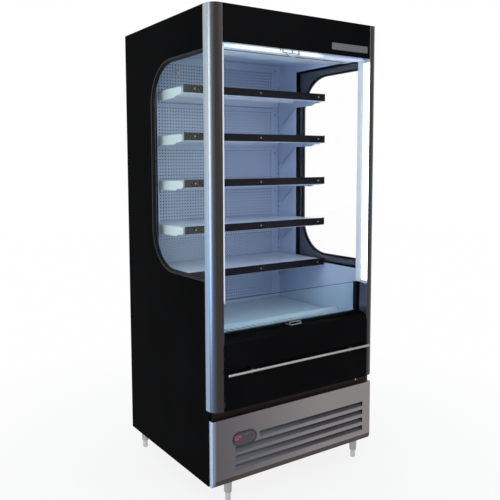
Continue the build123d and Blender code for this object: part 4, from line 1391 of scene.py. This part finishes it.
# ------------------------------------------------------------------ night curtain
@dataclass
class NightCurtain:
    """Roller, web and weighted bar with its handle, and the catch for it."""

    half_width: float = 0.368
    y: float = -0.3475
    low: float = 1.872
    high: float = 1.925
    hem: float = 0.012
    hem_swell: float = 2.2
    thickness: float = 0.0006
    cells: tuple[int, int] = (23, 24)
    cap_reach: Span = (-0.006, 0.0015)
    cap_rounding: float = 0.0018
    cap_half_depth: float = 0.0056
    cap_span: Span = (1.8574, 1.8726)

    def dress(self) -> None:
        """Gives the roller, bar and catch their finishes."""
        dress(WEB, "curtain_roller", "curtain_web")
        dress(BAR_METAL, "curtain_bar")
        dress(SCREW_STEEL, "curtain_catch")

    def web(self) -> None:
        """The hanging web with its doubled hem."""
        put_down()
        middle = (0.0, self.y, (self.low + self.high) / 2)
        bpy.ops.mesh.primitive_grid_add(
            x_subdivisions=self.cells[0], y_subdivisions=self.cells[1], size=1.0, location=middle,
            rotation=Facing.Y.value)
        piece = started("hanging_web")
        with shaping(piece, "VERT"):
            pick_all()
            bpy.ops.transform.resize(
                value=(2 * self.half_width, 1.0, self.high - self.low), center_override=middle)
        modified(piece, "SOLIDIFY", thickness=self.thickness, offset=0.0)
        with shaping(piece):
            pick(piece, "faces", lambda c, n: c.z < self.low + self.hem and abs(n.y) > FLAT)
            bpy.ops.transform.resize(
                value=(1.0, self.hem_swell, 1.0), center_override=(0.0, self.y, self.low))
        true_up(piece)
        smoothed(piece, WEB)
        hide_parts("curtain_web")
        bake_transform(piece)
        log.info("piece hanging_web: %d faces", len(piece.data.polygons))

    def bar_caps(self) -> None:
        """Plastic caps on both ends of the bar."""
        low, high = self.cap_span
        corners = both_sides(*(self.half_width + reach for reach in self.cap_reach),
                             (self.y - self.cap_half_depth, low), (self.y + self.cap_half_depth, high))
        caps = soft_blocks("curtain_bar_caps", corners, self.cap_rounding, 3)
        fitted(caps, "curtain", FAN_PLASTIC)

    def build(self) -> None:
        """Builds and dresses the curtain."""
        self.dress()
        self.web()
        self.bar_caps()


# ------------------------------------------------------------------ display space
@dataclass
class RearPanel:
    """One perforated pressed panel of the rear wall, between two heights."""

    name: str
    low: float
    high: float
    dense_from: float | None = None
    dense_to: float | None = None
    half_field: float = 0.345
    half_width: float = 0.3757
    pitch: float = 0.015
    hole: float = 0.0037
    dense_hole: float = 0.0026
    face: float = 0.2845
    metal: float = 0.0012
    fold: float = 0.008
    margins: float = 0.014
    low_margin: float = 0.004
    high_margin: float = 0.009
    top_panel_from: float = 1.8
    top_field_to: float = 1.8765

    def cell(self, name: str, x: float, z: float, half: float, hole: float, filled: bool = False) -> Piece:
        """One square of sheet with a round hole, or without.

        Args:
            name: piece name.
            x: middle of the square.
            z: middle of the square.
            half: half its side.
            hole: radius of the hole.
            filled: whether it is left without its hole.

        Returns:
            The square.
        """
        put_down()
        center, grow, diagonal = (x, self.face, z), half / hole, math.sqrt(2)
        bpy.ops.mesh.primitive_circle_add(vertices=8, radius=hole, location=center, rotation=Facing.Y.value)
        piece = started(name)
        with shaping(piece, "VERT"):
            pick_all()
            bpy.ops.mesh.extrude_edges_move()
            bpy.ops.transform.resize(value=(grow, 1.0, grow), center_override=center)
            pick(piece, "verts", lambda p: abs(p.x - x) > half * 0.5 and abs(p.z - z) > half * 0.5)
            bpy.ops.transform.resize(value=(diagonal, 1.0, diagonal), center_override=center)
            if filled:
                pick(piece, "verts", lambda p: math.hypot(p.x - x, p.z - z) < hole * 1.1)
                bpy.ops.mesh.delete(type="VERT")
                pick_all()
                bpy.ops.mesh.edge_face_add()
        return piece

    def zone(self, name: str, low: float, high: float, dense: bool) -> Piece:
        """A rectangle of perforated sheet.

        Args:
            name: piece name.
            low: lower edge.
            high: upper edge.
            dense: whether its holes are twice as many, staggered.

        Returns:
            The sheet, still without thickness.
        """
        half, left = self.pitch / 2, -self.half_field
        if dense:
            quarter = half / 2
            piece = joined(name, [
                self.cell(f"{name}_{i}{j}", left + quarter + i * half, low + quarter + j * half,
                          quarter, self.dense_hole, i != j)
                for i in (0, 1) for j in (0, 1)
            ])
            with shaping(piece, "VERT"):
                pick_all()
                bpy.ops.mesh.remove_doubles(threshold=MERGE)
        else:
            piece = self.cell(name, left + half, low + half, half, self.hole)
        in_rows(piece, round(2 * self.half_field / self.pitch), (self.pitch, 0.0, 0.0))
        in_rows(piece, round((high - low) / self.pitch), (0.0, 0.0, self.pitch))
        return piece

    def rows(self) -> list[tuple[float, float, bool]]:
        """The zones from bottom to top: lower edge, upper edge and whether it is dense.

        Returns:
            The zones.
        """
        count = int((self.high - self.low - self.margins) / self.pitch)
        top = self.high - self.high_margin if self.high < self.top_panel_from else self.top_field_to
        low = top - count * self.pitch
        if low < self.low + self.low_margin:
            low += self.pitch
        if self.dense_from is None:
            return [(low, top, False)]
        first, last = (
            low + round((v - low) / self.pitch) * self.pitch for v in (self.dense_from, self.dense_to))
        found = [(low, first, False), (first, last, True), (last, top, False)]
        return [(a, b, dense) for a, b, dense in found if b - a > self.pitch / 2]

    def build(self) -> Piece:
        """Builds the panel with its plain borders and folded top edge.

        Returns:
            The panel.
        """
        rows = self.rows()
        piece = joined(self.name, [self.zone(f"{self.name}_zone_{i}", *row) for i, row in enumerate(rows)])
        with shaping(piece, "EDGE"):
            for end in (-1, 1):
                x = end * self.half_field
                pick(piece, "edges", lambda a, b, x=x: max(abs(a.x - x), abs(b.x - x)) < MERGE)
                pull_edges((end * (self.half_width - self.half_field), 0.0, 0.0))
            for z, goal in ((rows[0][0], self.low), (rows[-1][1], self.high)):
                pick(piece, "edges", lambda a, b, z=z: max(abs(a.z - z), abs(b.z - z)) < MERGE)
                pull_edges((0.0, 0.0, goal - z))
            pick(piece, "edges", lambda a, b: min(a.z, b.z) > self.high - MERGE)
            pull_edges((0.0, self.fold, 0.0))
            pick_all()
            bpy.ops.mesh.normals_make_consistent(inside=False)
        with shaping(piece):
            if pick(piece, "faces", lambda c, n: n.y > FLAT):
                bpy.ops.mesh.flip_normals()
        modified(piece, "SOLIDIFY", thickness=self.metal, offset=-1.0)
        return fitted(piece, "cabinet", LINER_WHITE, 25.0)


@dataclass
class DisplaySpace:
    """Perforated rear wall, shelves with their rails, deck, riser and small fittings."""

    edges: tuple[float, ...] = (0.6803, 0.882, 1.082, 1.282, 1.482, 1.682, 1.911)
    dense: tuple[Span, ...] = ((0.755, 0.871), (0.89, 1.03))
    panel_gap: float = 0.0006
    wall_face: float = 0.2845
    wall_screws: Span = (-0.3655, 0.3655)
    wall_screw_drop: float = 0.028
    sensor: Span = (-0.2252, 1.8413)
    rail_front: float = -0.0735
    rail_levels: tuple[float, ...] = (1.730, 1.530, 1.330, 1.130, 0.930)
    rail_screws: tuple[float, ...] = (-0.341, 0.005, 0.35)
    rail_screw_drop: float = 0.0165
    rail_half: float = 0.391
    rail_cap: tuple[Span, ...] = ((-0.0045, 0.001), (-0.0008, 0.0084), (-0.0338, 0.0008))
    rail_cap_rounding: float = 0.0012
    screw_seat: float = 0.0003
    clip_reach: Point = (0.011, 0.012, 0.012)
    clip_seat: float = 0.0006
    clip_rim: float = 0.004
    clip_depth: float = 0.007
    probe_offset: Span = (-0.0085, -0.004)
    probe_radius: float = 0.0035
    probe_length: float = 0.034
    probe_rim: float = 0.0012
    probe_tip: float = 0.003

    def dress(self) -> None:
        """Gives the shelves, rails, deck and riser their finishes."""
        dress(SHELF_WHITE, *(f"shelf_{k}" for k in range(1, 6)), "deck_pan", "return_air_grille")
        dress(RAIL_PLASTIC, *(f"price_rail_{k}" for k in range(1, 6)))
        dress(RISER_GLASS, "riser_glass")
        dress(BRIGHT_WIRE, "riser_sill")
        dress(GASKET_RUBBER, "riser_channels")

    def rear_wall(self) -> None:
        """Six perforated panels in place of the plain ones."""
        zones = [*self.dense, *[()] * len(self.edges)]
        panels = [
            RearPanel(f"rear_panel_{i}", low, high - self.panel_gap, *zone).build()
            for i, (low, high, zone) in enumerate(zip(self.edges, self.edges[1:], zones), 1)
        ]
        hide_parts("rear_duct_panels")

    def rails(self, screws: Screws) -> None:
        """Screws and end caps of the price rails.

        Args:
            screws: maker of the screws.
        """
        y = self.rail_front
        for k, level in enumerate(self.rail_levels, 1):
            body = f"shelf_unit_{k}"
            seats = [(x, y + 0.0002, level - self.rail_screw_drop) for x in self.rail_screws]
            screws.row(f"rail_screws_{k}", seats, body, SCREW_STEEL, "foot")
            (x0, x1), (y0, y1), (z0, z1) = (
                [middle + reach for reach in span]
                for middle, span in zip((self.rail_half, y, level), self.rail_cap))
            caps = soft_blocks(
                f"rail_caps_{k}", both_sides(x0, x1, (y0, z0), (y1, z1)), self.rail_cap_rounding, 2)
            fitted(caps, body, CAP_PLASTIC)

    def wall_fittings(self, screws: Screws) -> None:
        """Screws of the rear panels, and the clip that holds the air sensor.

        Args:
            screws: maker of the screws.
        """
        face = self.wall_face
        seats = [
            (x, face + self.screw_seat, high - self.wall_screw_drop)
            for high in self.edges[1:] for x in self.wall_screws
        ]
        screws.row("rear_panel_screws", seats, "cabinet", SCREW_STEEL, "foot")
        x, z = self.sensor
        dx, dy, dz = self.clip_reach
        clip = start_block(
            "sensor_clip", (x - dx, face - dy, z - dz), (x + dx, face + self.clip_seat, z + dz))
        sink(clip, facing_front, self.clip_rim, (0.0, self.clip_depth, 0.0))
        soften(clip, width=0.0018, segments=3)
        true_up(clip)
        fitted(clip, "cabinet", WHITE_PLASTIC)
        dy, dz = self.probe_offset
        probe = start_round(
            "sensor_probe", (x, face + dy, z + dz), self.probe_radius, self.probe_length, Facing.Z, 20)
        sink(probe, lambda c, n: n.z < -FLAT, self.probe_rim, (0.0, 0.0, -self.probe_tip))
        soften(probe, 0.0006)
        true_up(probe)
        fitted(probe, "cabinet", BRIGHT_WIRE)

    def build(self, screws: Screws) -> None:
        """Builds and dresses the display space.

        Args:
            screws: maker of the screws.
        """
        self.dress()
        self.rear_wall()
        self.rails(screws)
        self.wall_fittings(screws)


# ------------------------------------------------------------------ machine bay
@dataclass
class ControlPanel:
    """Smoked controller with its digits, marks and keys."""

    center_x: float = -0.2845
    center_z: float = 0.277
    width: float = 0.117
    height: float = 0.058
    face: float = -0.3515
    rim: float = 0.0045
    rim_rise: float = 0.0009
    roundness: float = 0.999
    digits_left: float = -0.334
    digit_low: float = 0.2785
    digit_width: float = 0.0068
    digit_height: float = 0.0128
    digit_pitch: float = 0.0106
    digit_slant: float = 0.12
    bar: float = 0.0016
    bar_gap: float = 0.0004
    bar_corner: float = 0.46
    shown: tuple[str, ...] = ("afgcd", "abged", "abgf")
    mark_places: tuple[Span, ...] = ((-0.2793, 0.2908), (-0.2711, 0.2943))
    mark_radius: float = 0.0021
    mark_rim: float = 0.0008
    mark_depth: float = 0.0003
    key_face: float = -0.35255
    arrows: tuple[tuple[str, float, float], ...] = (
        ("down", -0.2625, math.pi / 2), ("up", -0.2445, -math.pi / 2))
    arrow_radius: float = 0.0026
    print_rise: float = 0.0005

    def dress(self) -> None:
        """Gives the controller's nodes their finishes."""
        dress(SMOKED_PLASTIC, "controller")
        dress(KEY_PLASTIC, "key_down", "key_up")

    def rim_ring(self) -> None:
        """Raised rim that follows the round ends."""
        half_x, half_z = self.width / 2, self.height / 2
        piece = start_block(
            "controller_rim",
            (self.center_x - half_x, self.face - self.rim_rise, self.center_z - half_z),
            (self.center_x + half_x, self.face + 0.0006, self.center_z + half_z))
        round_corners(piece, half_z * self.roundness, 14)
        with shaping(piece):
            pick(piece, "faces", lambda c, n: abs(n.y) > FLAT)
            bpy.ops.mesh.inset(thickness=self.rim)
            bpy.ops.mesh.bridge_edge_loops()
        true_up(piece)
        soften(piece, 0.0003, 2, 50.0)
        fitted(piece, "cabinet", FAN_PLASTIC)

    def segment(self, name: str, letter: str, left: float) -> Piece:
        """One bar of a digit.

        Args:
            name: piece name.
            letter: the bar's letter, a to g.
            left: left edge of the digit.

        Returns:
            The bar.
        """
        half = self.digit_height / 2
        mid_x, right = left + self.digit_width / 2, left + self.digit_width
        low, mid, high = (self.digit_low + i * half for i in range(3))
        places = {
            "a": (mid_x, high), "g": (mid_x, mid), "d": (mid_x, low), "f": (left, (mid + high) / 2),
            "b": (right, (mid + high) / 2), "e": (left, (low + mid) / 2), "c": (right, (low + mid) / 2),
        }
        x, z = places[letter]
        reach_x, reach_z = self.bar / 2, half / 2 - self.bar_gap
        if letter in "agd":
            reach_x, reach_z = self.digit_width / 2 - self.bar_gap, self.bar / 2
        piece = start_block(
            name, (x - reach_x, self.face - 0.0003, z - reach_z),
            (x + reach_x, self.face + 0.0002, z + reach_z))
        round_corners(piece, self.bar * self.bar_corner, 1)
        return piece

    def digits(self) -> None:
        """The lit digits and a decimal point."""
        bars = [
            self.segment(f"bar_{i}{letter}", letter, self.digits_left + i * self.digit_pitch)
            for i, letters in enumerate(self.shown) for letter in letters
        ]
        place = (self.digits_left + self.digit_width + self.bar * 1.2, self.face - 0.00005, self.digit_low)
        point = start_round("point", place, self.bar * 0.6, 0.0005, Facing.Y, 12)
        soften(point, 0.0001, 1)
        piece = joined("display_digits", [*bars, point])
        slant = Matrix.Identity(4)
        slant[0][2] = self.digit_slant
        middle = Matrix.Translation((0.0, 0.0, self.digit_low))
        piece.data.transform(middle @ slant @ middle.inverted())
        fitted(piece, "cabinet", RED_DIGITS)

    def marks(self) -> None:
        """Two small status marks, and the arrows on the keys."""
        dots = []
        for i, (x, z) in enumerate(self.mark_places):
            dot = start_round(f"mark_{i}", (x, self.face - 0.00005, z), self.mark_radius, 0.0006, Facing.Y, 6)
            sink(dot, facing_front, self.mark_rim, (0.0, self.mark_depth, 0.0))
            dots.append(dot)
        fitted(joined("status_marks", dots), "cabinet", DIM_MARKS)
        for name, x, turn in self.arrows:
            put_down()
            bpy.ops.mesh.primitive_cylinder_add(
                vertices=3, radius=self.arrow_radius, depth=self.print_rise,
                location=(x, self.key_face, self.center_z), rotation=(math.pi / 2, math.pi / 2 + turn, 0.0))
            arrow = started(f"key_arrow_{name}")
            soften(arrow, 0.0003)
            fitted(arrow, f"push_key_{name}", KEY_ARROW)

    def build(self) -> None:
        """Builds and dresses the controller."""
        self.dress()
        self.rim_ring()
        self.digits()
        self.marks()


@dataclass
class FanGuard:
    """Wire guard in front of a fan: hoops on crossed spokes."""

    name: str
    center: Point
    hoops: tuple[float, ...]
    wire: float = 0.0011
    spokes: int = 3
    turn: float = 0.3

    def hoop(self, name: str, radius: float) -> Piece:
        """One hoop of a radius, round the fan's axis.

        Args:
            name: piece name.
            radius: radius of the hoop.

        Returns:
            The hoop.
        """
        put_down()
        bpy.ops.mesh.primitive_torus_add(
            location=self.center, rotation=Facing.Y.value, major_radius=radius, minor_radius=self.wire,
            major_segments=40, minor_segments=8)
        return started(name)

    def build(self) -> None:
        """Builds the guard."""
        parts = [self.hoop(f"hoop_{i}", radius) for i, radius in enumerate(self.hoops)]
        place = Matrix.Translation(Vector(self.center) + Vector((0.0, 2 * self.wire, 0.0)))
        for i in range(self.spokes):
            spoke = start_round(f"spoke_{i}", (0.0, 0.0, 0.0), self.wire, 2 * self.hoops[-1], Facing.X, 8)
            spoke.data.transform(place @ Matrix.Rotation(math.pi * i / self.spokes + self.turn, 4, "Y"))
            parts.append(spoke)
        fitted(joined(self.name, parts), "cabinet", BRIGHT_WIRE)


@dataclass
class MachineBay:
    """Stainless machine front, controller, coils, fans, compressor and legs."""

    channel_screw: Point = (0.358, -0.33, 0.3935)
    legs: tuple[Span, ...] = (
        (-0.332, -0.292), (0.385, -0.292), (-0.397, 0.349), (0.397, 0.349))
    nut_low: float = 0.0365
    nut_height: float = 0.005
    nut_radius: float = 0.015
    condenser: Point = (-0.09, -0.183, 0.233)
    evaporators: Mapping[str, Point] = field(default_factory=lambda: {
        "left": (-0.19, -0.152, 0.566), "right": (0.19, -0.152, 0.566)})
    condenser_hoops: tuple[float, ...] = (0.018, 0.036, 0.054, 0.072, 0.09)
    evaporator_hoops: tuple[float, ...] = (0.016, 0.033, 0.05, 0.066)

    def dress(self) -> None:
        """Gives the machinery its finishes."""
        dress(STAINLESS, "grille_panel")
        dress(COIL_FINS, "condenser_coil", "evaporator_coil")
        dress(FAN_PLASTIC, "condenser_fan", "evaporator_fan_left", "evaporator_fan_right")
        dress(MOTOR_CAST, "fan_motors")
        dress(COMPRESSOR_BLACK, "compressor")
        dress(BUMPER_METAL, "bumper_rail")

    def lock_nuts(self) -> None:
        """Hexagon nuts that lock the levelling feet under the sleeves."""
        z = self.nut_low + self.nut_height / 2
        nuts = [
            start_round(f"nut_{i}", (x, y, z), self.nut_radius, self.nut_height, Facing.Z, 6)
            for i, (x, y) in enumerate(self.legs)
        ]
        for nut in nuts:
            soften(nut, 0.001)
        fitted(joined("leg_lock_nuts", nuts), "cabinet", ZINC_STEEL)

    def build(self, screws: Screws) -> None:
        """Builds and dresses the machine bay.

        Args:
            screws: maker of the screws.
        """
        self.dress()
        self.lock_nuts()
        ControlPanel().build()
        FanGuard("condenser_guard", self.condenser, self.condenser_hoops).build()
        for name, center in self.evaporators.items():
            FanGuard(f"evaporator_guard_{name}", center, self.evaporator_hoops).build()
        screws.row("channel_screw", [self.channel_screw], "cabinet", ZINC_STEEL, "stainless")


# ------------------------------------------------------------------ studio
@dataclass
class SoftLight:
    """Rectangular lamp that points at a target."""

    name: str
    place: Point
    target: Point
    width: float
    height: float
    brightness: float
    color: Color = (1.0, 1.0, 1.0)
    lights_object: bool = True

    def build(self) -> None:
        """Makes the lamp."""
        data = bpy.data.lights.new(self.name, "AREA")
        data.shape, data.size, data.size_y = "RECTANGLE", self.width, self.height
        data.energy = self.brightness * self.width * self.height * math.pi
        data.color = self.color
        lamp = bpy.data.objects.new(self.name, data)
        bpy.context.scene.collection.objects.link(lamp)
        lamp.location = self.place
        lamp.rotation_euler = (Vector(self.target) - Vector(self.place)).to_track_quat("-Z", "Y").to_euler()
        lamp.visible_camera = False
        lamp.visible_transmission = False
        lamp.visible_diffuse = self.lights_object
        log.info("lamp %s", self.name)


@dataclass
class Studio:
    """Pale floor, white surroundings, soft lamps and the camera."""

    eye: Point = (-1.7191, -2.3822, 1.3869)
    yaw: float = 32.352
    pitch: float = -4.989
    roll: float = -0.454
    lens: float = 45.17
    shift: Span = (0.07406, -0.05814)
    sensor: float = 36.0
    clip: Span = (0.05, 100.0)
    ambient: Color = (0.62, 0.66, 0.72)
    white: Color = (1.0, 1.0, 1.0)
    floor_size: float = 24.0
    fade_span: Span = (0.4, 2.0)
    fade_share: Span = (0.86, 0.985)

    @staticmethod
    def seen_straight(sheet: NodeSheet) -> Socket:
        """1 for rays from the camera, from glossy surfaces and through glass.

        Args:
            sheet: sheet that takes the nodes.

        Returns:
            The share.
        """
        path = sheet.node("ShaderNodeLightPath").outputs
        some = sheet.sum("MAXIMUM", path["Is Camera Ray"], path["Is Glossy Ray"])
        return sheet.sum("MAXIMUM", some, path["Is Transmission Ray"])

    def surroundings(self) -> None:
        """White world that lights the object at a plain level."""
        sheet = NodeSheet(bpy.data.worlds.new("studio_white"))
        lit, seen = (
            sheet.node("ShaderNodeBackground", {"Color": color}).outputs[0]
            for color in (self.ambient, self.white))
        shown = sheet.blended(self.seen_straight(sheet), lit, seen)
        bpy.context.scene.world = sheet.close(shown, "ShaderNodeOutputWorld")

    def floor(self) -> None:
        """Pale floor that keeps the object's soft shadow and turns white further out."""
        put_down()
        bpy.ops.mesh.primitive_plane_add(size=self.floor_size)
        floor = started("studio_floor")
        sheet = NodeSheet(bpy.data.materials.new("studio_floor_white"))
        away = sheet.node("ShaderNodeVectorMath", {0: sheet.place}, operation="LENGTH").outputs["Value"]
        fade = sheet.ramp(away, *self.fade_span, *self.fade_share)
        paper = sheet.surface({
            "Base Color": sheet.tones(sheet.noise(3.0), (0.8, 0.8, 0.8), (0.82, 0.82, 0.82)),
            "Roughness": 0.8, "Specular IOR Level": 0.1})
        white = sheet.node("ShaderNodeEmission", {"Color": self.white, "Strength": 1.0}).outputs[0]
        share = sheet.both(fade, self.seen_straight(sheet))
        floor.data.materials.append(sheet.close(sheet.blended(share, paper, white)))

    def camera(self) -> None:
        """Camera at the photograph's viewing angle."""
        yaw, pitch, roll = (math.radians(v) for v in (self.yaw, self.pitch, self.roll))
        ahead = Vector((math.sin(yaw) * math.cos(pitch), math.cos(yaw) * math.cos(pitch), math.sin(pitch)))
        right = Vector((math.cos(yaw), -math.sin(yaw), 0.0))
        up = right.cross(ahead)
        rolled_right = math.cos(roll) * right + math.sin(roll) * up
        rolled_up = math.cos(roll) * up - math.sin(roll) * right
        data = bpy.data.cameras.new("photo_camera")
        data.lens, data.sensor_width = self.lens, self.sensor
        data.shift_x, data.shift_y = self.shift
        data.clip_start, data.clip_end = self.clip
        camera = bpy.data.objects.new("photo_camera", data)
        bpy.context.scene.collection.objects.link(camera)
        turned = Matrix((rolled_right, rolled_up, -ahead)).transposed().to_4x4()
        turned.translation = Vector(self.eye)
        camera.matrix_world = turned
        bpy.context.scene.camera = camera

    def lamps(self) -> None:
        """A soft lamp in front, and a bright strip that only shows as a reflection in the metal."""
        SoftLight("front_soft_light", place=(1.6, -3.4, 2.6), target=(0.0, -0.3, 1.0),
                  width=1.6, height=1.6, brightness=1.2).build()
        SoftLight("left_bright_strip", place=(-3.2, -0.45, 1.2), target=(-0.4, -0.35, 1.1),
                  width=0.9, height=3.0, brightness=14.0, color=(0.8, 0.9, 1.0), lights_object=False).build()

    def build(self) -> None:
        """Sets up the studio."""
        bpy.context.scene.view_settings.view_transform = "Standard"
        self.camera()
        self.surroundings()
        self.floor()
        self.lamps()


def main() -> None:
    """Builds every sub-assembly in order."""
    logging.basicConfig(level=logging.INFO, format="%(name)s: %(message)s")
    screws = Screws()
    Studio().build()
    Cabinet().build(screws)
    Windows().build()
    Lighting().build()
    NightCurtain().build()
    DisplaySpace().build(screws)
    MachineBay().build(screws)
    put_down()


if __name__ == "__main__":
    main()
